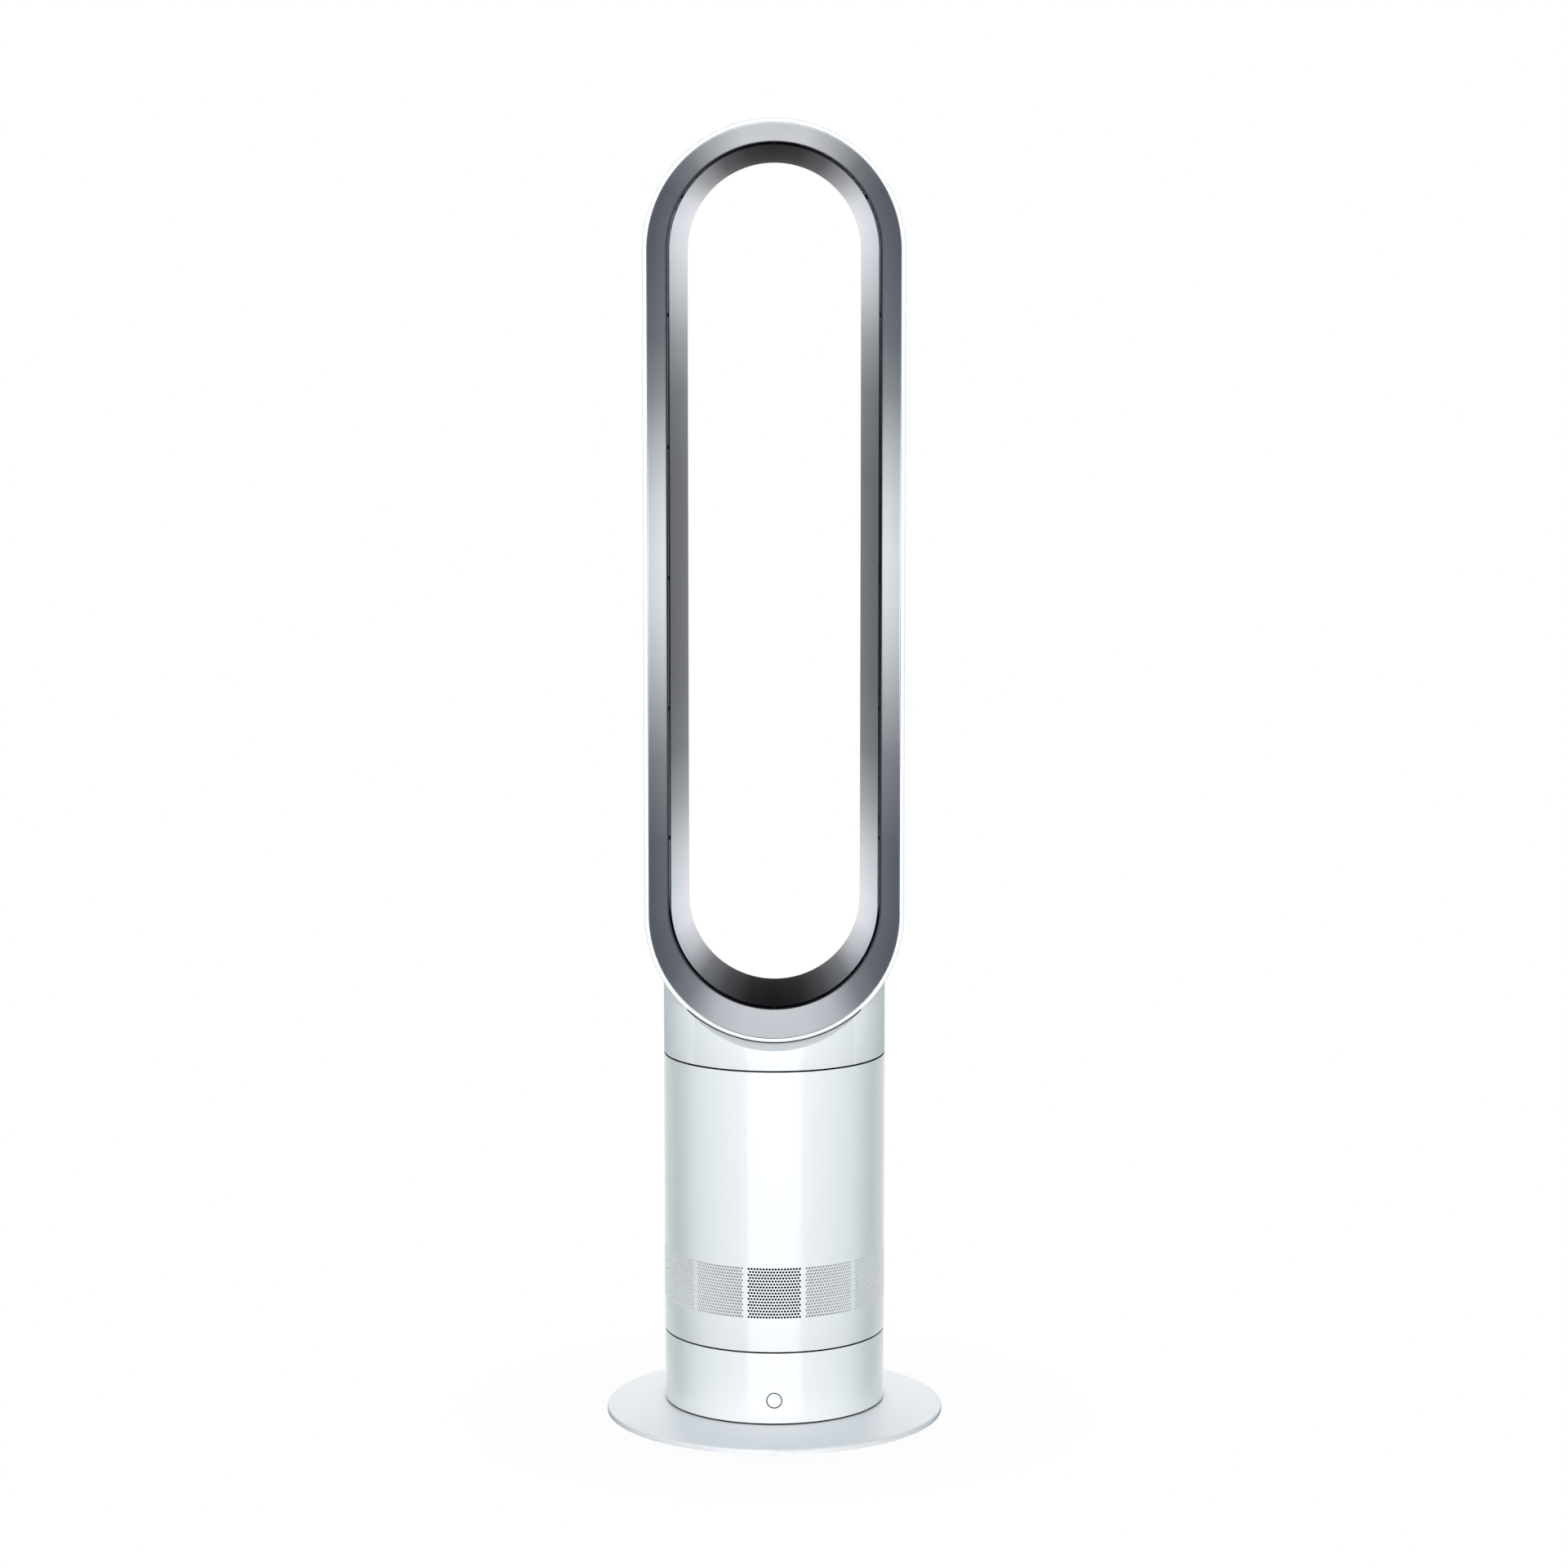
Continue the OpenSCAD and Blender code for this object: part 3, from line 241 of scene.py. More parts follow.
def drawn(bm, edges, way):
    """Extrudes a line of edges by way, and gives the new line."""
    verts, line = extruded(bm, edges)
    bmesh.ops.translate(bm, verts=verts, vec=way)
    return line


def spun(bm, edges, centre, axis, angle, steps):
    """Spins a line of edges, and gives the last line. A full turn closes on the first."""
    last = bmesh.ops.spin(
        bm, geom=edges + verts_of(edges), cent=centre, axis=axis, dvec=(0, 0, 0), angle=angle, steps=steps,
        use_merge=angle == FULL_TURN,
    )["geom_last"]
    return edges_in(last)


def rounded_section(bm, corners, place):
    """A closed line from corners (point, radius of its round), set in space by place."""
    verts = [bm.verts.new(place(point)) for point, _ in corners]
    bm.faces.new(verts)
    for vert, (_, radius) in zip(verts, corners):
        if radius:
            bmesh.ops.bevel(
                bm, geom=[vert], offset=radius, offset_type="OFFSET", segments=8 if radius > MM else 4,
                profile=0.5, affect="VERTICES", material=-1,
            )
    bmesh.ops.delete(bm, geom=bm.faces[:], context="FACES_ONLY")
    return bm.edges[:]


def welded(bm, distance=1e-6):
    bmesh.ops.remove_doubles(bm, verts=bm.verts[:], dist=distance)


def outward(bm):
    """Turns every face outwards. The shell has to be closed, or one sheet without doubles."""
    bmesh.ops.recalc_face_normals(bm, faces=bm.faces[:])


def shaded(bm, sharpest=32):
    """Shades smooth, apart from edges sharper than so many degrees."""
    for face in bm.faces:
        face.smooth = True
    for edge in bm.edges:
        edge.smooth = len(edge.link_faces) == 2 and edge.calc_face_angle(0) < math.radians(sharpest)


def bent_round(bm, radius):
    """Bends a flat sheet in XZ round the axis, its X becoming the way along the wall."""
    for vert in bm.verts:
        turn = vert.co.x / radius
        vert.co = Vector((radius * math.sin(turn), -radius * math.cos(turn), vert.co.z))


def soften(bm, chosen, width, segments=3):
    bmesh.ops.bevel(
        bm, geom=chosen, offset=width, offset_type="OFFSET", segments=segments, profile=0.5, affect="EDGES",
        material=-1, clamp_overlap=True,
    )


def rim_edges(bm, radius, level, slack=2e-5):
    """The edges of a round rim: all at one radius and one level."""
    on = lambda v: abs(v.co.z - level) < slack and abs(math.hypot(v.co.x, v.co.y) - radius) < slack
    return [e for e in bm.edges if on(e.verts[0]) and on(e.verts[1])]


def pierced_cell(bm, width, height, radius, sides):
    """A flat rectangle in XZ with a round hole in its middle."""
    ring = bmesh.ops.create_circle(
        bm, cap_ends=False, segments=sides, radius=radius, matrix=Matrix.Rotation(math.pi / 2, 4, "X")
    )["verts"]
    for vert in extruded(bm, edges_of(ring))[0]:
        reach = max(abs(vert.co.x), abs(vert.co.z))
        vert.co.x *= width / 2 / reach
        vert.co.z *= height / 2 / reach
    return bm.verts[:], bm.edges[:], bm.faces[:]


def copied(bm, geom, way):
    """Copies geom by way, and gives the copy."""
    made = bmesh.ops.duplicate(bm, geom=geom)["geom"]
    bmesh.ops.translate(bm, verts=verts_in(made), vec=way)
    return made


def placed(name, bm):
    """Makes an object of a bmesh, which it uses up, and puts it in the scene."""
    mesh = bpy.data.meshes.new(name)
    bm.to_mesh(mesh)
    bm.free()
    made = bpy.data.objects.new(name, mesh)
    bpy.context.scene.collection.objects.link(made)
    return made


def finished(name, bm, body, finish_name, replaces=(), others=()):
    """Makes the object, gives it its finishes, and lets it ride on its body."""
    piece = placed(name, bm)
    for kind in (finish_name, *others):
        piece.data.materials.append(finish(kind))
    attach(piece, body)
    if replaces:
        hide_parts(*replaces)


# Finishes


class Flow:
    """A socket in a material's tree, with Python's operators as its Math nodes."""

    def __init__(self, tree, socket=None):
        self.tree, self.socket = tree, socket

    def add(self, kind, values=(), out=0, stops=(), **settings):
        """Adds a node: its settings and a ramp's stops first, then the values or links of its sockets."""
        made = self.tree.nodes.new("ShaderNode" + kind)
        for name, value in settings.items():
            setattr(made, name, value)
        if stops:
            marks = made.color_ramp.elements
            marks[0].position, marks[0].color = stops[0][0], (*stops[0][1], 1)
            marks[-1].position, marks[-1].color = stops[-1][0], (*stops[-1][1], 1)
            for place, shade in stops[1:-1]:
                marks.new(place).color = (*shade, 1)
        for name, value in dict(values).items():
            socket = made.inputs[name]
            if isinstance(value, Flow):
                self.tree.links.new(value.socket, socket)
            elif hasattr(socket.default_value, "__len__") and len(socket.default_value) == 4 and len(value) == 3:
                socket.default_value = (*value, 1)
            else:
                socket.default_value = value
        return Flow(self.tree, made.outputs[out] if len(made.outputs) else None)

    def add_all(self, kind, names, values=()):
        """Adds a node, and gives its outputs of those names."""
        made = self.add(kind, values).socket.node
        return [Flow(self.tree, made.outputs[name]) for name in names]

    def maths(self, operation, first, second):
        return self.add("Math", {0: first, 1: second}, operation=operation)

    def __add__(self, other):
        return self.maths("ADD", self, other)

    def __radd__(self, other):
        return self.maths("ADD", other, self)

    def __sub__(self, other):
        return self.maths("SUBTRACT", self, other)

    def __rsub__(self, other):
        return self.maths("SUBTRACT", other, self)

    def __mul__(self, other):
        return self.maths("MULTIPLY", self, other)

    def __rmul__(self, other):
        return self.maths("MULTIPLY", other, self)

    def __truediv__(self, other):
        return self.maths("DIVIDE", self, other)

    def __rtruediv__(self, other):
        return self.maths("DIVIDE", other, self)


def emptied(owner):
    """The tree of a material or a world, with nothing in it yet."""
    owner.use_nodes = True
    owner.node_tree.nodes.clear()
    return Flow(owner.node_tree)


def own_place(flow):
    """Object coordinates: metres in the object's own frame."""
    return flow.add("TexCoord", out="Object")


def distance(flow):
    """How far a place is from the object's origin."""
    return flow.add("VectorMath", {0: own_place(flow)}, out="Value", operation="LENGTH")


def mixed(flow, amount, first, second):
    return flow.add("Mix", {0: amount, 6: first, 7: second}, out=2, data_type="RGBA")


def grain(flow, per_metre, detail, stretch=(1, 1, 1)):
    """Noise from 0 to 1 with so many cells a metre."""
    place = flow.add("Mapping", {"Vector": own_place(flow), "Scale": stretch})
    return flow.add("TexNoise", {"Vector": place, "Scale": per_metre, "Detail": detail})


def raised(flow, height, strength, distance):
    return flow.add("Bump", {"Height": height, "Strength": strength, "Distance": distance})


def scaled(shade, factor):
    return tuple(min(1.0, c * factor) for c in shade)


def white_gloss(flow, c):
    mould = grain(flow, 9, 3)
    return {
        "Base Color": mixed(flow, mould, c.white, scaled(c.white, 0.985)),
        "Roughness": 0.16 + grain(flow, 40, 3) * 0.05,
        "Coat Weight": 0.5,
        "Coat Roughness": 0.04,
        "Normal": raised(flow, grain(flow, 260, 1), 0.02, 0.0004),
    }


def pale_plate(flow, c):
    return {
        "Base Color": mixed(flow, grain(flow, 12, 3), c.plate, scaled(c.plate, 0.97)),
        "Roughness": 0.3 + grain(flow, 60, 3) * 0.06,
        "Coat Weight": 0.15,
        "Coat Roughness": 0.1,
        "Normal": raised(flow, grain(flow, 300, 1), 0.02, 0.0004),
    }


def loop_place(flow):
    """0 at the bottom of the loop, 0.25 and 0.75 at the ends of its straight sides, 1 at the top."""
    low = SHELL_LOW.z + bpy.context.scene.fan_loop.radius
    high = SHELL_HIGH.z - bpy.context.scene.fan_loop.radius
    across, height = flow.add_all("SeparateXYZ", "XZ", {0: own_place(flow)})
    aside = flow.maths("ABSOLUTE", across, 0)
    above = flow.maths("ARCTAN2", flow.maths("MAXIMUM", height - high, 0), aside)
    below = flow.maths("ARCTAN2", flow.maths("MAXIMUM", low - height, 0), aside)
    sides = {"From Min": low, "From Max": high, "To Min": 0.25, "To Max": 0.75}
    straight = flow.add("MapRange", {"Value": height, **sides})
    return straight + (above - below) * (0.5 / math.pi)


def bright_silver(painted_reflection_tint, gloss, stops):
    """Polished metal with painted reflections along the loop: a dark tint, mixed over it as painted reflection; stops
    hold that tint's share at each place.
    """

    def paint(flow, c):
        brushed = grain(flow, 30, 4, (1, 1, 0.15))
        levels = [(place, (level,) * 3) for place, level in stops]
        relief = raised(flow, grain(flow, 700, 1), 0.01, 0.0003)
        return {
            "Base Color": mixed(flow, brushed, c.silver, scaled(c.silver, 0.97)),
            "Metallic": 1.0,
            "Roughness": 0.13 + brushed * 0.05,
            "Normal": relief,
            # painted reflection: the dark tint's share follows the place on the loop
            "Over": (
                flow.add("ValToRGB", {"Fac": loop_place(flow)}, stops=levels),
                {
                    "Base Color": mixed(flow, brushed, painted_reflection_tint, scaled(painted_reflection_tint, 0.9)),
                    "Roughness": 0.4,
                    "IOR": 1.1,
                    "Specular IOR Level": gloss,
                },
            ),
        }

    return paint


def moulded(name, rough, bump, gloss=0.5):
    """A matt moulded plastic: fine grain, a little mottling."""

    def paint(flow, c):
        shade = getattr(c, name)
        mottle = grain(flow, 25, 4)
        return {
            "Base Color": mixed(flow, mottle, scaled(shade, 0.9), scaled(shade, 1.1)),
            "Roughness": rough + mottle * 0.12,
            "Specular IOR Level": gloss,
            "Normal": raised(flow, grain(flow, 1400, 2), bump, 0.0003),
        }

    return paint


def dark_foam(flow, c):
    cells = flow.add("TexVoronoi", {"Vector": own_place(flow), "Scale": 420.0}, out="Distance")
    return {
        "Base Color": mixed(flow, cells, scaled(c.foam, 0.4), scaled(c.foam, 1.5)),
        "Roughness": 0.95,
        "Normal": raised(flow, cells, 0.8, 0.0015),
    }


def circuit_green(flow, c):
    """Solder mask over tracks: blocks a few millimetres long, paler than the mask between them."""
    shades = {"Color1": (1, 1, 1), "Color2": (0, 0, 0), "Mortar": (1, 1, 1)}
    tracks = flow.add("TexBrick", {"Vector": own_place(flow), "Scale": 90.0, "Mortar Size": 0.03, **shades})
    level = flow.add("SeparateColor", {"Color": tracks})
    return {
        "Base Color": mixed(flow, level, scaled(c.board, 0.75), scaled(c.board, 1.35)),
        "Roughness": 0.35 + grain(flow, 200, 2) * 0.1,
        "Normal": raised(flow, level, 0.2, 0.0002),
    }


def turned_metal(name, rough):
    """Metal with the fine rings that turning and stamping leave."""

    def paint(flow, c):
        shade = getattr(c, name)
        rings = grain(flow, 60, 4, (1, 1, 25))
        return {
            "Base Color": mixed(flow, rings, scaled(shade, 0.88), scaled(shade, 1.08)),
            "Metallic": 1.0,
            "Roughness": rough + rings * 0.15,
            "Normal": raised(flow, rings, 0.12, 0.0002),
        }

    return paint


def copper(flow, c):
    turns = flow.add("TexWave", {"Vector": own_place(flow), "Scale": 330.0}, out=1, bands_direction="Z")
    return {
        "Base Color": mixed(flow, turns, scaled(c.copper, 0.35), scaled(c.copper, 1.15)),
        "Metallic": 0.85,
        "Roughness": 0.28 + grain(flow, 200, 2) * 0.1,
        "Normal": raised(flow, turns, 0.7, 0.0006),
    }


# The ducts' painted reflections: (place on the loop, share of the dark tint painted as reflection)
FRONT_PAINTED_REFLECTION = [
    (0.0, 0.26), (0.042, 0.27), (0.083, 0.42), (0.125, 0.8), (0.165, 0.92), (0.208, 0.95), (0.3, 0.94),
    (0.367, 0.81), (0.406, 0.6), (0.446, 0.33), (0.485, 0.13), (0.525, 0.07), (0.564, 0.2), (0.604, 0.45),
    (0.643, 0.75), (0.683, 0.89), (0.75, 0.95), (0.833, 0.95), (0.875, 0.85), (0.917, 0.54), (0.958, 0.27),
    (1.0, 0.27),
]
REAR_PAINTED_REFLECTION = [
    (0.0, 1.0), (0.042, 0.99), (0.083, 0.93), (0.125, 0.78), (0.167, 0.33), (0.208, 0.07), (0.25, 0.07),
    (0.287, 0.24), (0.327, 0.57), (0.367, 0.76), (0.42, 0.81), (0.58, 0.82), (0.643, 0.77), (0.683, 0.6),
    (0.723, 0.27), (0.75, 0.12), (0.8, 0.05), (0.833, 0.14), (0.875, 0.58), (0.917, 0.89), (0.958, 0.97),
    (1.0, 0.985),
]
FINISHES = {
    "white_gloss": white_gloss,
    "pale_plate": pale_plate,
    # both silvers carry painted reflections: dark and bright bands along the loop
    "front_silver": bright_silver((0.085, 0.096, 0.126), 0.5, FRONT_PAINTED_REFLECTION),
    "rear_silver": bright_silver((0.0085, 0.0065, 0.0085), 0.2, REAR_PAINTED_REFLECTION),
    "dark_plastic": moulded("dark", 0.5, 0.12),
    "grey_plastic": moulded("grey", 0.45, 0.1),
    "ivory_plastic": moulded("ivory", 0.35, 0.05),
    "black_rubber": moulded("rubber", 0.72, 0.25),
    "pale_rubber": moulded("plate", 0.72, 0.25),
    # painted shade: near-black for gaps, hollows and faces that lie in shade
    "deep_black": moulded("shade", 0.85, 0.3, 0.05),
    "lining_grey": moulded("lining", 0.85, 0.3, 0.2),
    # painted light: lighter white where the shell white lies in shade
    "inner_white": moulded("inner_white", 0.5, 0.05),
    "dark_foam": dark_foam,
    "circuit_green": circuit_green,
    "steel": turned_metal("steel", 0.25),
    "brass": turned_metal("brass", 0.22),
    "copper": copper,
}
WEARERS = {
    "pale_plate": ["base_plate"],
    # painted shade: the slot's spacers wear black, so the slot reads as a dark line
    "deep_black": ["slot_spacers"],
    "dark_plastic": [
        "base_chassis", "button_switch", "turntable", "motor_bucket_lower", "motor_bucket_upper", "impeller",
        "rotor_magnet",
    ],
    "grey_plastic": ["intake_bellmouth", "impeller_housing", "diffuser_vanes", "outlet_duct", "turning_vanes"],
    "ivory_plastic": ["slide_ring", "pivot_bush", "ring_gear"],
    "pale_rubber": ["foot_pads"],
    "black_rubber": ["cord_gland", "isolation_mounts", "air_seal", "collar_seal"],
    "dark_foam": ["floor_foam", "silencing_foam"],
    "circuit_green": ["power_board", "control_board", "driver_board"],
    "steel": [
        "plate_screws", "oscillation_motor", "motor_screws", "retaining_clip", "casing_screws", "motor_stator",
        "bearing_lower", "bearing_upper", "impeller_shaft",
    ],
    "brass": ["drive_pinion"],
    "copper": ["motor_coils"],
}


def finish(name):
    """The material of that name, made the first time that it is asked for."""
    label = "fan_" + name
    made = bpy.data.materials.get(label)
    if made is None:
        made = bpy.data.materials.new(label)
        flow = emptied(made)
        values = FINISHES[name](flow, bpy.context.scene.fan_colours)
        share, over = values.pop("Over", (0, None))
        shader = flow.add("BsdfPrincipled", values)
        if over:
            shader = flow.add("MixShader", {0: share, 1: shader, 2: flow.add("BsdfPrincipled", over)})
        flow.add("OutputMaterial", {"Surface": shader})
    return made


# Pieces


class FanPiece:
    """What the operators share."""

    bl_options = {"REGISTER", "UNDO"}

    def execute(self, context):
        self.make(context.scene.fan_loop, context.scene.fan_body)
        return {"FINISHED"}


def loop_wall(name, corners, sizes, finish_name, node):
    """A wall whose section (points, rounds) is carried round both ends and up both sides of the loop.

    Faces inside the loop's hollow are painted black, as painted shade.
    """
    low = SHELL_LOW.z + sizes.radius
    high = SHELL_HIGH.z - sizes.radius
    bm = bmesh.new()
    line = rounded_section(bm, corners, lambda p: Vector((p.x, -p.y, low)))
    rise = Vector((0, 0, high - low))
    line = drawn(bm, line, rise)
    line = spun(bm, line, (0, 0, high), (0, -1, 0), math.pi, sizes.steps)
    line = drawn(bm, line, -rise)
    spun(bm, line, (0, 0, low), (0, -1, 0), math.pi, sizes.steps)
    welded(bm)
    outward(bm)
    shaded(bm)
    wall, skip = sizes.wall * WITHIN, 0.0005
    for face in bm.faces:
        middle = face.calc_center_median()
        away = Vector((middle.x, 0, middle.z - min(max(middle.z, low), high)))
        if node == "nozzle_outer_shell":
            inside = away.length < sizes.radius - wall and skip - sizes.rear < -middle.y < sizes.front - skip
            hollow = inside and face.normal.y < 0.01
        else:
            hollow = face.normal.dot(away.normalized()) > 0.05
        # painted shade: the hollow's faces wear black
        if hollow:
            face.material_index = 1
    finished(name, bm, "turret", finish_name, (node,), ("deep_black",))


class FAN_OT_loop_shell(FanPiece, bpy.types.Operator):
    """White outer shell of the loop, with its turned-in front rim and round back"""

    bl_idname = "fan.loop_shell"
    bl_label = "Loop shell"

    def make(self, s, _):
        inner = s.radius - s.wall
        rear_in = (s.radius + s.mouth_radius) / 2
        rim_in = s.radius - s.rim_width
        corners = [
            (Vector((s.radius, s.front)), RIM_ROUND),
            (Vector((rim_in, s.front)), EDGE_ROUND),
            (Vector((rim_in, s.front - s.rim_depth)), 0),
            (Vector((inner, s.front - s.rim_depth)), 0),
            (Vector((inner, s.wall - s.rear)), s.rear_round - s.wall),
            (Vector((rear_in, s.wall - s.rear)), 0),
            (Vector((rear_in, -s.rear)), EDGE_ROUND),
            (Vector((s.radius, -s.rear)), s.rear_round),
        ]
        loop_wall("loop_shell", corners, s, "white_gloss", "nozzle_outer_shell")


class FAN_OT_front_duct(FanPiece, bpy.types.Operator):
    """Bright front duct, from the rim back to the slot, where it ends in a round lip"""

    bl_idname = "fan.front_duct"
    bl_label = "Front duct"

    def make(self, s, _):
        rim = Vector((s.radius - s.rim_width - RIM_GAP, s.front - RIM_STEP))
        slot = Vector((s.slot_radius, SLOT_FRONT))
        face = bowed(slot, rim, s.duct_bow, DUCT_STEPS)
        back = offset_line(face, [s.duct_wall] * len(face))[:-1]
        under_rim = rim.x + RIM_LAP
        corners = [(p, 0) for p in face]
        corners += [(Vector((under_rim, rim.y)), FINE_ROUND), (Vector((under_rim, rim.y - s.duct_wall)), 0)]
        corners += [(p, 0) for p in reversed(back)]
        lip = slot + (back[0] - slot) / 2
        start = math.degrees(math.atan2(*(back[0] - lip).yx))
        corners += [(arc_point(lip, s.duct_wall / 2, start - turn), 0) for turn in range(30, 180, 30)]
        loop_wall("front_duct", corners, s, "front_silver", "nozzle_front_duct")


class FAN_OT_rear_duct(FanPiece, bpy.types.Operator):
    """Bright rear duct, from its thin lip at the slot back to the mouth and round to the shell"""

    bl_idname = "fan.rear_duct"
    bl_label = "Rear duct"

    def make(self, s, _):
        turn = s.rear_round - s.rear
        mouth = Vector((s.mouth_radius, turn))
        lip = Vector((s.lip_radius, LIP_FRONT))
        centre = Vector((s.mouth_radius + s.rear_round, turn))
        face = bowed(mouth, lip, s.duct_bow, DUCT_STEPS)
        back = offset_line(
            face, [s.duct_wall - (s.duct_wall - LIP_EDGE) * i / DUCT_STEPS for i in range(len(face))]
        )
        rear_in = (s.radius + s.mouth_radius) / 2 - CLEARANCE
        outer = [arc_point(centre, s.rear_round, turn) for turn in range(189, 271, 9)]
        inner = [arc_point(centre, s.rear_round - s.duct_wall, turn) for turn in range(180, 271, 9)]
        line = list(reversed(face)) + outer + [Vector((rear_in, -s.rear)), Vector((rear_in, s.duct_wall - s.rear))]
        line += list(reversed(inner)) + back[1:]
        loop_wall("rear_duct", [(p, 0) for p in line], s, "rear_silver", "nozzle_rear_duct")


class FAN_OT_collar(FanPiece, bpy.types.Operator):
    """White collar, whose top is hollowed to the loop's outline, with the spigot under it"""

    bl_idname = "fan.collar"
    bl_label = "Collar"

    def make(self, s, b):
        foot = CASING_HIGH.z + b.seam
        seat = s.radius + CLEARANCE
        centre = SHELL_LOW.z + s.radius
        bm = bmesh.new()
        ring = bmesh.ops.create_circle(
            bm, cap_ends=False, segments=2 * s.steps, radius=b.radius, matrix=Matrix.Translation((0, 0, foot))
        )["verts"]
        foot_line = edges_of(ring)
        top_line = drawn(bm, foot_line, Vector((0, 0, b.radius)))
        for vert in verts_of(top_line):
            vert.co.z = centre - math.sqrt(seat**2 - vert.co.x**2)
        ends = [v for v in verts_of(top_line) if abs(v.co.y) < NEAR]
        chains = [e for e in top_line if not any(v in ends for v in e.verts)]
        bmesh.ops.bridge_loops(bm, edges=chains)
        for end in ends:
            beside = [e.other_vert(end) for e in end.link_edges if e in top_line]
            bm.faces.new([end, *beside])
        soften(bm, top_line, SADDLE_ROUND, 4)
        inner, line = extruded(bm, foot_line)
        share = (b.radius - b.wall - SPIGOT_GAP) / b.radius
        bmesh.ops.scale(bm, vec=(share, share, 1), verts=inner)
        line = drawn(bm, line, Vector((0, 0, -SPIGOT_DEPTH)))
        cap = bmesh.ops.contextual_create(bm, geom=line)["faces"]
        # painted shade on the spigot and its cap in the seam; painted light on the hollowed top, a lighter white
        for face in bm.faces:
            if face in cap or face.calc_center_median().z < foot - CLEARANCE:
                face.material_index = 1
            elif face.calc_area() > SADDLE_FACE:
                face.material_index = 2
        soften(bm, rim_edges(bm, b.radius, foot), EDGE_ROUND)
        outward(bm)
        shaded(bm)
        finished("collar", bm, "turret", "white_gloss", ("nozzle_collar",), ("deep_black", "inner_white"))


class FAN_OT_rim_shadow(FanPiece, bpy.types.Operator):
    """Painted shadow: a black strip along the line between the loop's rim and the collar's hollowed top"""

    bl_idname = "fan.gasket"
    bl_label = "Collar gasket"

    def make(self, s, b):
        centre = SHELL_LOW.z + s.radius
        half = math.asin((b.radius**2 - s.front**2) ** 0.5 / s.radius)
        out, front = s.radius + HAIR, s.front + b.gasket
        inner, back = out - b.gasket, front - 2 * b.gasket
        corners = [(inner, back), (out, back), (out, front), (inner, front)]
        bm = bmesh.new()
        line = rounded_section(
            bm, [(Vector(p), b.gasket * 0.15) for p in corners], lambda p: Vector((0, -p.y, centre - p.x))
        )
        bmesh.ops.rotate(bm, verts=bm.verts[:], cent=(0, 0, centre), matrix=Matrix.Rotation(half, 3, "Y"))
        spun(bm, line, (0, 0, centre), (0, -1, 0), 2 * half, s.steps)
        for open_end in (line, [e for e in bm.edges if len(e.link_faces) == 1 and e not in line]):
            bmesh.ops.contextual_create(bm, geom=open_end)
        outward(bm)
        shaded(bm)
        finished("collar_gasket", bm, "turret", "deep_black")


class FAN_OT_casing(FanPiece, bpy.types.Operator):
    """White body with its intake band: patches of staggered holes right round, as real holes"""

    bl_idname = "fan.casing"
    bl_label = "Body casing"

    def make(self, _, b):
        sector = FULL_TURN * b.radius / b.patches
        pitch = HOLE_TURN * b.radius
        bm = bmesh.new()
        cell = [g for kind in pierced_cell(bm, pitch, b.row_pitch, b.hole_radius, HOLE_SIDES) for g in kind]
        wide = list(cell)
        for i in range(1, b.columns):
            wide += copied(bm, cell, Vector((i * pitch, 0, 0)))
        first = b.band_middle - (b.rows - 1) / 2 * b.row_pitch
        bmesh.ops.translate(bm, verts=verts_in(wide), vec=(-(b.columns - 1) / 2 * pitch, 0, first))
        narrow = []
        for i in range(b.columns - 1):
            narrow += copied(bm, cell, Vector(((i + 0.5) * pitch, 0, b.row_pitch)))
        for side in (-1, 1):
            flat = bmesh.ops.create_grid(
                bm, x_segments=1, y_segments=2, size=1,
                matrix=Matrix.Translation((side * (b.columns / 2 - 0.25) * pitch, 0, first + b.row_pitch))
                @ Matrix.Rotation(math.pi / 2, 4, "X")
                @ Matrix.Diagonal((pitch / 4, b.row_pitch / 2, 1, 1)),
            )["verts"]
            narrow += flat + edges_of(flat) + faces_of(flat)
        for j in range(2, b.rows):
            copied(bm, narrow if j % 2 else wide, Vector((0, 0, (j // 2) * 2 * b.row_pitch)))
        welded(bm, SHEET_WELD)
        reach = b.columns / 2 * pitch
        drawn(bm, edges_at(bm, 0, reach), Vector((sector - 2 * reach, 0, 0)))
        low, high = first - b.row_pitch / 2, first + (b.rows - 0.5) * b.row_pitch
        for level, goal in ((low, CASING_LOW.z), (high, CASING_HIGH.z)):
            drawn(bm, edges_at(bm, 2, level), Vector((0, 0, goal - level)))
        bent_round(bm, b.radius)
        patch = bm.verts[:] + bm.edges[:] + bm.faces[:]
        bmesh.ops.spin(
            bm, geom=patch, cent=(0, 0, 0), axis=(0, 0, 1), dvec=(0, 0, 0),
            angle=FULL_TURN * (b.patches - 1) / b.patches, steps=b.patches - 1, use_duplicate=True,
        )
        welded(bm, SHEET_WELD)
        outward(bm)
        bmesh.ops.solidify(bm, geom=bm.faces[:], thickness=b.skin)
        for level in (CASING_LOW.z, CASING_HIGH.z):
            soften(bm, rim_edges(bm, b.radius, level), EDGE_ROUND, 2)
        # painted shade: ends, inner faces and the front patch's hole walls wear black; painted light: the other hole
        # walls wear the lighter white
        for face in bm.faces:
            spot = face.calc_center_median()
            deep = [v.co.xy.length < b.radius - b.skin * WITHIN for v in face.verts]
            front = abs(math.atan2(spot.x, -spot.y)) < math.pi / b.patches
            end = abs(face.normal.z) > 0.9 and not CASING_LOW.z + MM < spot.z < CASING_HIGH.z - MM
            if end or all(deep) or (any(deep) and front):
                face.material_index = 1
            elif any(deep):
                face.material_index = 2
        shaded(bm)
        finished("body_shell", bm, "turret", "white_gloss", ("body_casing",), ("deep_black", "inner_white"))


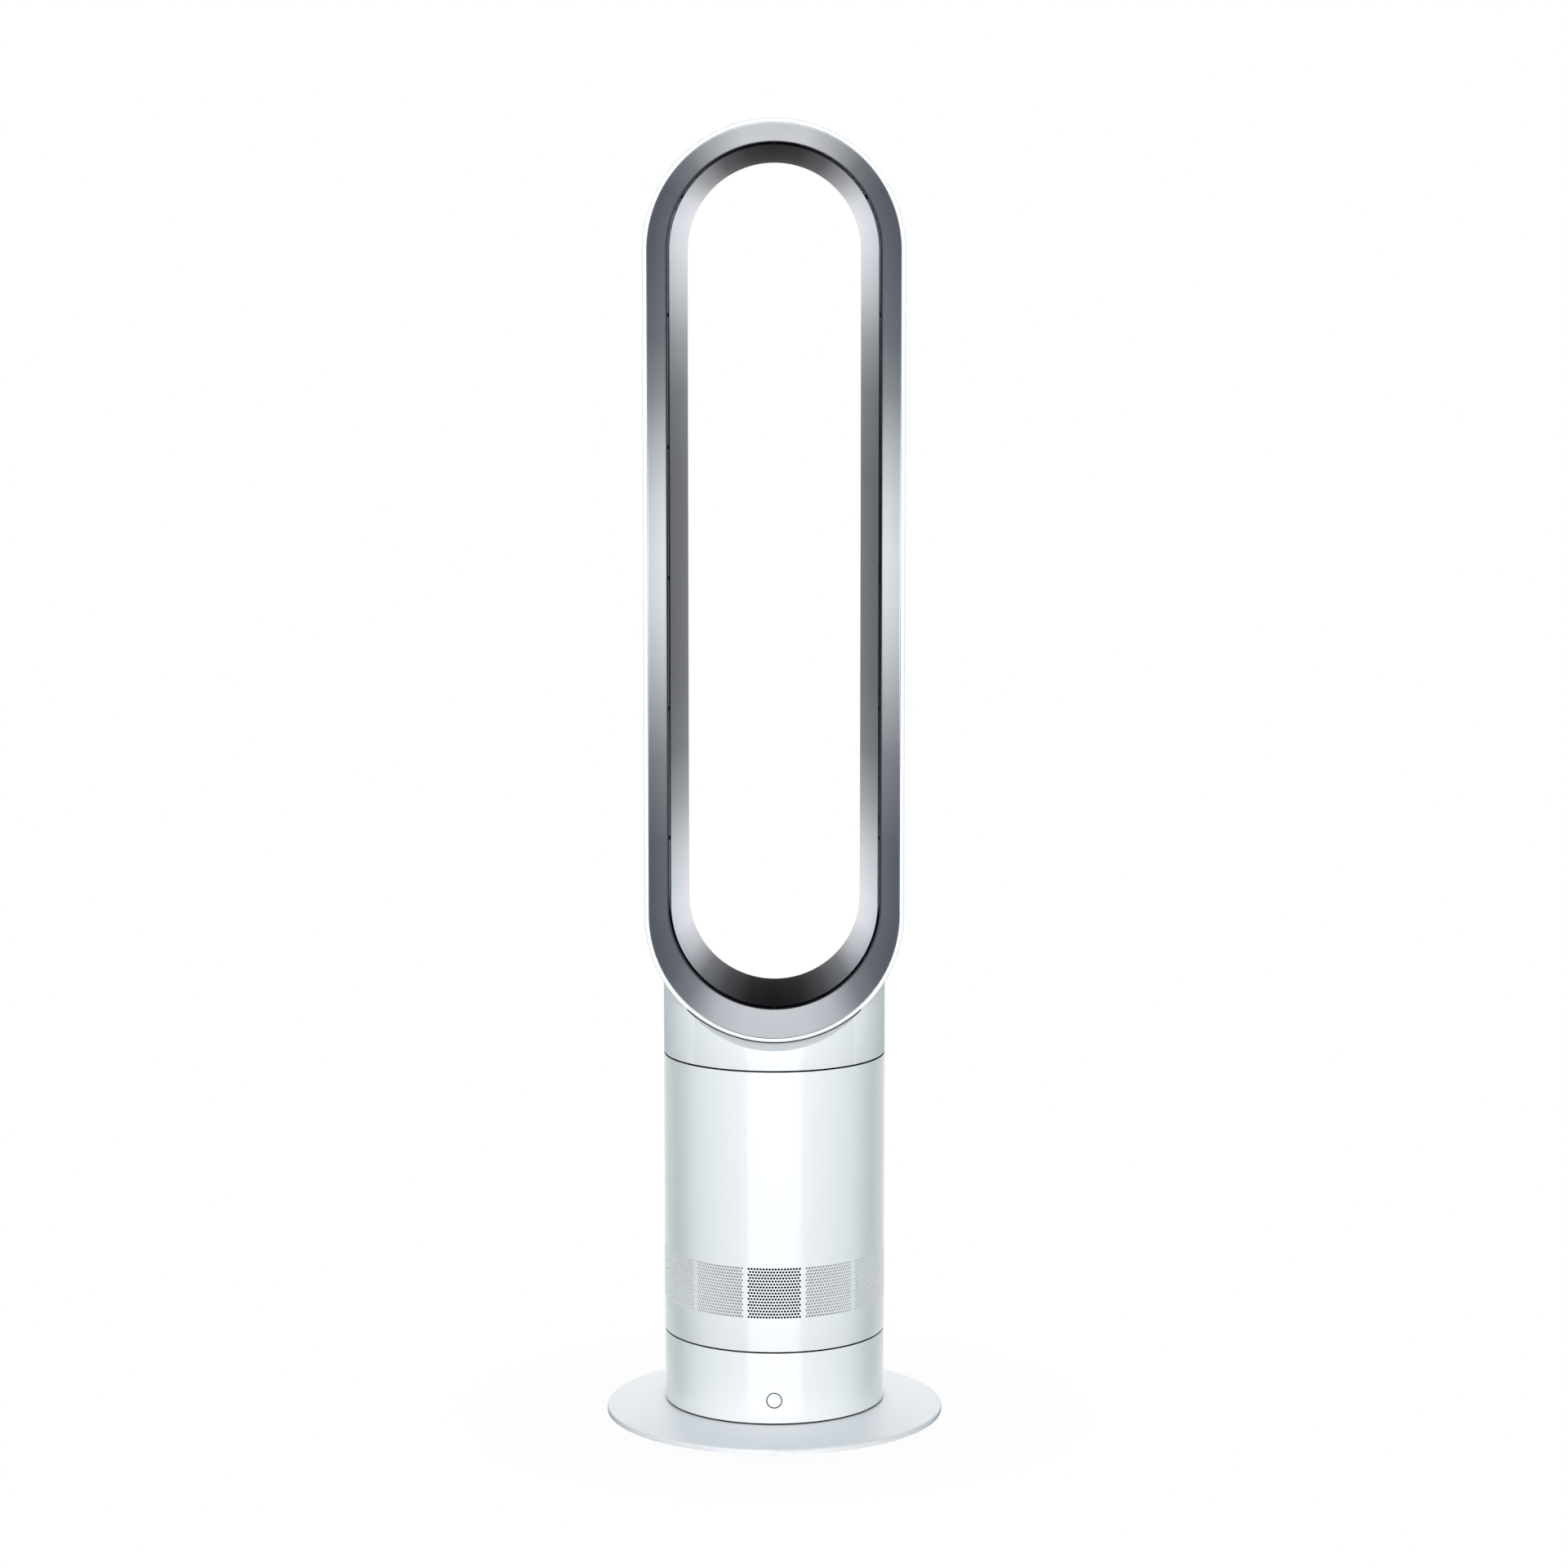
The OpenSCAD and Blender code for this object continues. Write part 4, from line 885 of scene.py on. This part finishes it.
class FAN_OT_band_shade_sheet(FanPiece, bpy.types.Operator):
    """Sheet of painted shade behind the intake band's holes: black behind the front patch, grey behind the others"""

    bl_idname = "fan.band_lining"
    bl_label = "Band lining"

    def make(self, s, b):
        reach = (b.rows / 2 + 1) * b.row_pitch
        outer, inner = (b.radius - b.skin - depth for depth in SHADE_SHEET_DEPTHS)
        corners = [(inner, -reach), (outer, -reach), (outer, reach), (inner, reach)]
        bm = bmesh.new()
        line = rounded_section(
            bm, [(Vector(p), HAIR) for p in corners], lambda p: Vector((p.x, 0, b.band_middle + p.y))
        )
        spun(bm, line, (0, 0, 0), (0, 0, 1), FULL_TURN, 2 * s.steps)
        welded(bm)
        outward(bm)
        for face in bm.faces:
            spot = face.calc_center_median()
            # painted shade: black behind the front patch, grey further round
            face.material_index = int(abs(math.atan2(spot.x, -spot.y)) > math.pi / b.patches)
        shaded(bm)
        finished("band_lining", bm, "turret", "deep_black", (), ("lining_grey",))


class FAN_OT_base_cylinder(FanPiece, bpy.types.Operator):
    """White base cylinder, with the power button's round hole"""

    bl_idname = "fan.base_cylinder"
    bl_label = "Base cylinder"

    def make(self, _, b):
        middle = (BUTTON_LOW.z + BUTTON_HIGH.z) / 2
        half = BUTTON_CELL
        bm = bmesh.new()
        pierced_cell(bm, 2 * half, 2 * half, b.button_radius + b.button_gap, BUTTON_SIDES)
        bmesh.ops.translate(bm, verts=bm.verts[:], vec=(0, 0, middle))
        bent_round(bm, b.base_radius)
        turn = half / b.base_radius
        side = edges_at(bm, 0, b.base_radius * math.sin(turn))
        spun(bm, side, (0, 0, 0), (0, 0, 1), FULL_TURN - 2 * turn, 180)
        welded(bm, NEAR)
        for level, goal in ((middle - half, HOUSING_LOW.z), (middle + half, HOUSING_HIGH.z)):
            drawn(bm, edges_at(bm, 2, level), Vector((0, 0, goal - level)))
        outward(bm)
        bmesh.ops.solidify(bm, geom=bm.faces[:], thickness=b.base_wall)
        for level in (HOUSING_LOW.z, HOUSING_HIGH.z):
            soften(bm, rim_edges(bm, b.base_radius, level), EDGE_ROUND, 2)
        # painted shade: the button hole's edge, the ends and the inner faces wear black
        for face in bm.faces:
            spot = face.calc_center_median()
            hole = math.hypot(spot.x, spot.z - middle) < b.button_radius + b.button_gap + HAIR and spot.y < 0
            end = abs(face.normal.z) > 0.9
            if hole or end or all(v.co.xy.length < b.base_radius - b.base_wall * WITHIN for v in face.verts):
                face.material_index = 1
        shaded(bm)
        finished("base_cylinder", bm, "base", "white_gloss", ("base_housing",), ("deep_black",))


class FAN_OT_power_button(FanPiece, bpy.types.Operator):
    """Round power button, its face flush with the base and its edge softened, with a stem behind"""

    bl_idname = "fan.power_button"
    bl_label = "Power button"

    def make(self, _, b):
        middle = (BUTTON_LOW.z + BUTTON_HIGH.z) / 2
        face_radius = b.base_radius - CLEARANCE
        bm = bmesh.new()
        turned = Matrix.Translation((0, 0, middle)) @ Matrix.Rotation(math.pi / 2, 4, "X")
        bmesh.ops.create_circle(bm, cap_ends=True, segments=BUTTON_SIDES, radius=b.button_radius, matrix=turned)
        for share in (0.1, 0.3, 0.6):
            inner = max(bm.faces, key=lambda f: len(f.verts))
            bmesh.ops.inset_individual(bm, faces=[inner], thickness=b.button_radius * share * 0.6, use_even_offset=True)
        rim = [e for e in bm.edges if len(e.link_faces) == 1]
        bent_round(bm, face_radius)
        back = drawn(bm, rim, Vector((0, MM, 0)))
        level = -b.base_radius + b.base_wall + MM
        for vert in verts_of(back):
            vert.co.y = level
        cap = bmesh.ops.contextual_create(bm, geom=back)["faces"]
        bmesh.ops.inset_individual(bm, faces=cap, thickness=b.button_radius * 0.6, use_even_offset=True)
        stem = bmesh.ops.extrude_discrete_faces(bm, faces=cap)["faces"]
        bmesh.ops.translate(bm, verts=stem[0].verts[:], vec=(0, BUTTON_HIGH.y - level, 0))
        welded(bm)
        soften(bm, rim, FINE_ROUND, 2)
        outward(bm)
        # painted shade: the button's sides and stem, in the dark gap round it, wear black
        for face in bm.faces:
            if face.normal.y > -0.5:
                face.material_index = 1
        shaded(bm)
        finished("button_cap", bm, "button", "white_gloss", ("power_button",), ("deep_black",))


class FAN_OT_seam_rings(FanPiece, bpy.types.Operator):
    """Black rings deep in two seams, painted shade in the gaps: foot plate and base, base and body"""

    bl_idname = "fan.seam_rings"
    bl_label = "Seam rings"

    def make(self, s, b):
        inner = b.base_radius - SEAM_RING_DEPTH
        outer = inner + SEAM_RING_WIDTH
        half = b.seam / 2 - SEAM_RING_GAP
        corners = [(inner, -half), (outer, -half), (outer, half), (inner, half)]
        for name, body, top in (("foot_seam", "base", HOUSING_LOW.z), ("swing_seam", "turret", CASING_LOW.z)):
            bm = bmesh.new()
            level = top - b.seam / 2
            line = rounded_section(
                bm, [(Vector(p), SEAM_RING_ROUND) for p in corners], lambda p: Vector((p.x, 0, level + p.y))
            )
            spun(bm, line, (0, 0, 0), (0, 0, 1), FULL_TURN, 2 * s.steps)
            welded(bm)
            outward(bm)
            shaded(bm)
            finished(name, bm, body, "deep_black")


class FAN_OT_inner_parts(bpy.types.Operator):
    """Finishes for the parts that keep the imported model's own meshes"""

    bl_idname = "fan.inner_parts"
    bl_label = "Inner parts"

    def execute(self, context):
        for name, nodes in WEARERS.items():
            for node in nodes:
                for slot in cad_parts[node].material_slots:
                    slot.material = finish(name)
        return {"FINISHED"}


# Studio

BLACK, WHITE = (0, 0, 0), (1, 1, 1)
SHADE_TINT = (0.66, 0.9, 1.0)  # of the light from all round
SIDE_TINT = (0.75, 0.94, 1.0)  # of the side softboxes
FLAG_TINT = (0.94, 0.98, 1.0)
VIEW_SHIFT = -80 / 1920  # moves the frame, by a share of its side, to where the photograph has it
BAND_HALF = math.radians(28.2)  # the front panel reaches so far round the axis, either way
FLAG_MIDDLE, FLAG_HALF = math.radians(100), math.radians(45)  # a side panel's middle, and its reach either way
GREY_MIDDLE, GREY_HALF = math.radians(111), math.radians(32)  # and those of the grey on it
REFLECTING_RADIUS = 0.073  # the body's wall sees a panel's near part from so far off the axis
PANEL_NEAR, PANEL_LIFT, PANEL_STEPS = 0.05, 0.0006, 24  # where a panel starts, its height over the floor, its facets
BAND_CENTRE = (0, -0.044, 0)  # the front panel is round about this point
FLOOR_HALF, FLOOR_DROP = 6, 0.0002  # half the floor's side, and how far it lies under the feet
FLOOR_FADE = {"From Min": 0.14, "From Max": 0.26, "To Min": 0.97, "To Max": 1.0}  # share of white by distance
SOFTBOXES = (  # name, place, the height on the axis that it faces, size, tint, the property that holds its power
    ("front_softbox", (0, -3.4, 1.2), 0.5, (3.4, 2.6), WHITE, "front_power"),
    ("rear_softbox", (0, 3.4, 1.2), 0.5, (3.4, 2.6), WHITE, "rear_power"),
    ("left_softbox", (-3.4, 1.5, 0.6), 0.3, (2.0, 2.0), SIDE_TINT, "side_power"),
    ("right_softbox", (3.4, 1.5, 0.6), 0.3, (2.0, 2.0), SIDE_TINT, "side_power"),
)


def reflector(name, centre, half_width, middle, reach, height, paint):
    """A curved panel that only reflections see: a sector of the floor, and the wall behind it.

    Its middle is so far round from the front, and paint gives its colour and strength.
    """
    bm = bmesh.new()
    near, far = Vector((0, -PANEL_NEAR, PANEL_LIFT)), Vector((0, -reach, PANEL_LIFT))
    line = [bm.verts.new(p) for p in (near, far, far + Vector((0, 0, height)))]
    edges = [bm.edges.new(pair) for pair in zip(line, line[1:])]
    bmesh.ops.rotate(bm, verts=line, cent=(0, 0, 0), matrix=Matrix.Rotation(middle - half_width, 3, "Z"))
    spun(bm, edges, (0, 0, 0), (0, 0, 1), 2 * half_width, PANEL_STEPS)
    bmesh.ops.translate(bm, verts=bm.verts[:], vec=centre)
    panel = placed(name, bm)
    panel.visible_camera = panel.visible_diffuse = panel.visible_shadow = panel.visible_transmission = False
    made = bpy.data.materials.new(name)
    flow = emptied(made)
    flow.add("OutputMaterial", {"Surface": flow.add("Emission", paint(flow))})
    panel.data.materials.append(made)


def softbox(name, place, faced, size, tint, power):
    """A soft light that reflections don't show."""
    lamp = bpy.data.lights.new(name, "AREA")
    lamp.shape, (lamp.size, lamp.size_y), lamp.energy, lamp.color = "RECTANGLE", size, power, tint
    holder = bpy.data.objects.new(name, lamp)
    holder.location = place
    holder.rotation_euler = (Vector((0, 0, faced)) - Vector(place)).to_track_quat("-Z", "Y").to_euler()
    holder.visible_glossy = holder.visible_camera = False
    bpy.context.scene.collection.objects.link(holder)


class FAN_OT_studio(bpy.types.Operator):
    """Camera, white floor, softboxes and the panels that the round body reflects"""

    bl_idname = "fan.studio"
    bl_label = "Studio"

    def execute(self, context):
        scene, s = context.scene, context.scene.fan_studio
        camera = bpy.data.objects.new("camera", bpy.data.cameras.new("camera"))
        scene.collection.objects.link(camera)
        scene.camera = camera
        camera.data.sensor_width = 36
        camera.data.lens = s.lens
        camera.data.shift_y = VIEW_SHIFT
        camera.data.clip_end = 50
        camera.location = (s.aside, -s.distance, s.height)
        camera.rotation_euler = (math.pi / 2 - s.pitch, 0, 0)
        scene.view_settings.view_transform = "Standard"
        self.world(scene, s)
        self.floor()
        for *where, power in SOFTBOXES:
            softbox(*where, getattr(s, power))
        lit = {"Color": WHITE, "Strength": s.band_level}
        reflector("front_band", BAND_CENTRE, BAND_HALF, 0, 3.3, 2.6, lambda flow: lit)
        for name, side in (("flag_left", -1), ("flag_right", 1)):
            reflector(name, (0, 0, 0), FLAG_HALF, side * FLAG_MIDDLE, 2.6, 2.4, self.flag)
        return {"FINISHED"}

    def flag(self, flow):
        """Grey in the flag's middle and white at its ends, as the body's round wall reflects it."""
        across, along = flow.add_all("SeparateXYZ", "XY", {0: own_place(flow)})
        turn = flow.maths("ARCTAN2", flow.maths("ABSOLUTE", across, 0), -1 * along)
        turn += REFLECTING_RADIUS / distance(flow)
        off = flow.maths("ABSOLUTE", (turn - GREY_MIDDLE) / GREY_HALF, 0)
        tone = flow.add("MapRange", {"Value": off, "To Min": 0.2, "To Max": 1.0}, interpolation_type="SMOOTHSTEP")
        return {"Color": mixed(flow, tone, BLACK, FLAG_TINT), "Strength": 1.0}

    def world(self, scene, s):
        """A plain level of bluish light, and white for the camera and for reflections."""
        scene.world = bpy.data.worlds.new("studio_world")
        flow = emptied(scene.world)
        seen = flow.add_all("LightPath", ("Is Camera Ray", "Is Glossy Ray", "Is Transmission Ray"))
        shown = flow.maths("MINIMUM", seen[0] + seen[1] + seen[2], 1)
        level = s.world_level + shown * (1 - s.world_level)
        sky = mixed(flow, shown, SHADE_TINT, WHITE)
        background = flow.add("Background", {"Color": sky, "Strength": level})
        flow.add("OutputWorld", {"Surface": background})

    def floor(self):
        """White for the camera, with the part's own shade close round it."""
        bm = bmesh.new()
        bmesh.ops.create_grid(bm, x_segments=1, y_segments=1, size=FLOOR_HALF)
        bmesh.ops.translate(bm, verts=bm.verts[:], vec=(0, 0, -FLOOR_DROP))
        floor = placed("floor", bm)
        made = bpy.data.materials.new("studio_floor")
        flow = emptied(made)
        camera_ray, glossy_ray = flow.add_all("LightPath", ("Is Camera Ray", "Is Glossy Ray"))
        far = flow.add("MapRange", {"Value": distance(flow), **FLOOR_FADE})
        matt = flow.add("BsdfDiffuse", {"Color": (0.4, 0.4, 0.4)})
        white = flow.add("Emission", {"Color": WHITE, "Strength": 1.0})
        factor = flow.maths("MINIMUM", camera_ray + glossy_ray, 1) * far
        flow.add("OutputMaterial", {"Surface": flow.add("MixShader", {0: factor, 1: matt, 2: white})})
        floor.data.materials.append(made)


GROUPS = {"fan_loop": LoopSizes, "fan_body": BodySizes, "fan_colours": FinishColours, "fan_studio": StudioSizes}
OPERATORS = (
    FAN_OT_loop_shell, FAN_OT_front_duct, FAN_OT_rear_duct, FAN_OT_collar, FAN_OT_rim_shadow, FAN_OT_casing,
    FAN_OT_band_shade_sheet, FAN_OT_base_cylinder, FAN_OT_power_button, FAN_OT_seam_rings, FAN_OT_inner_parts, FAN_OT_studio,
)


class FAN_PT_dresser(bpy.types.Panel):
    """Lists the fan's pieces and the studio"""

    bl_label = "Tower fan"
    bl_idname = "FAN_PT_dresser"
    bl_space_type = "VIEW_3D"
    bl_region_type = "UI"
    bl_category = "Fan"

    def draw(self, context):
        for operator in OPERATORS:
            self.layout.operator(operator.bl_idname)
        for name, group in GROUPS.items():
            box = self.layout.box()
            for field in group.__annotations__:
                box.prop(getattr(context.scene, name), field)


def register():
    for made in (*GROUPS.values(), *OPERATORS, FAN_PT_dresser):
        bpy.utils.register_class(made)
    for name, group in GROUPS.items():
        setattr(bpy.types.Scene, name, PointerProperty(type=group))


def unregister():
    for name in GROUPS:
        delattr(bpy.types.Scene, name)
    for made in reversed((*GROUPS.values(), *OPERATORS, FAN_PT_dresser)):
        bpy.utils.unregister_class(made)


def main():
    register()
    for operator in OPERATORS:
        family, name = operator.bl_idname.split(".")
        getattr(getattr(bpy.ops, family), name)()


if __name__ == "__main__":
    main()
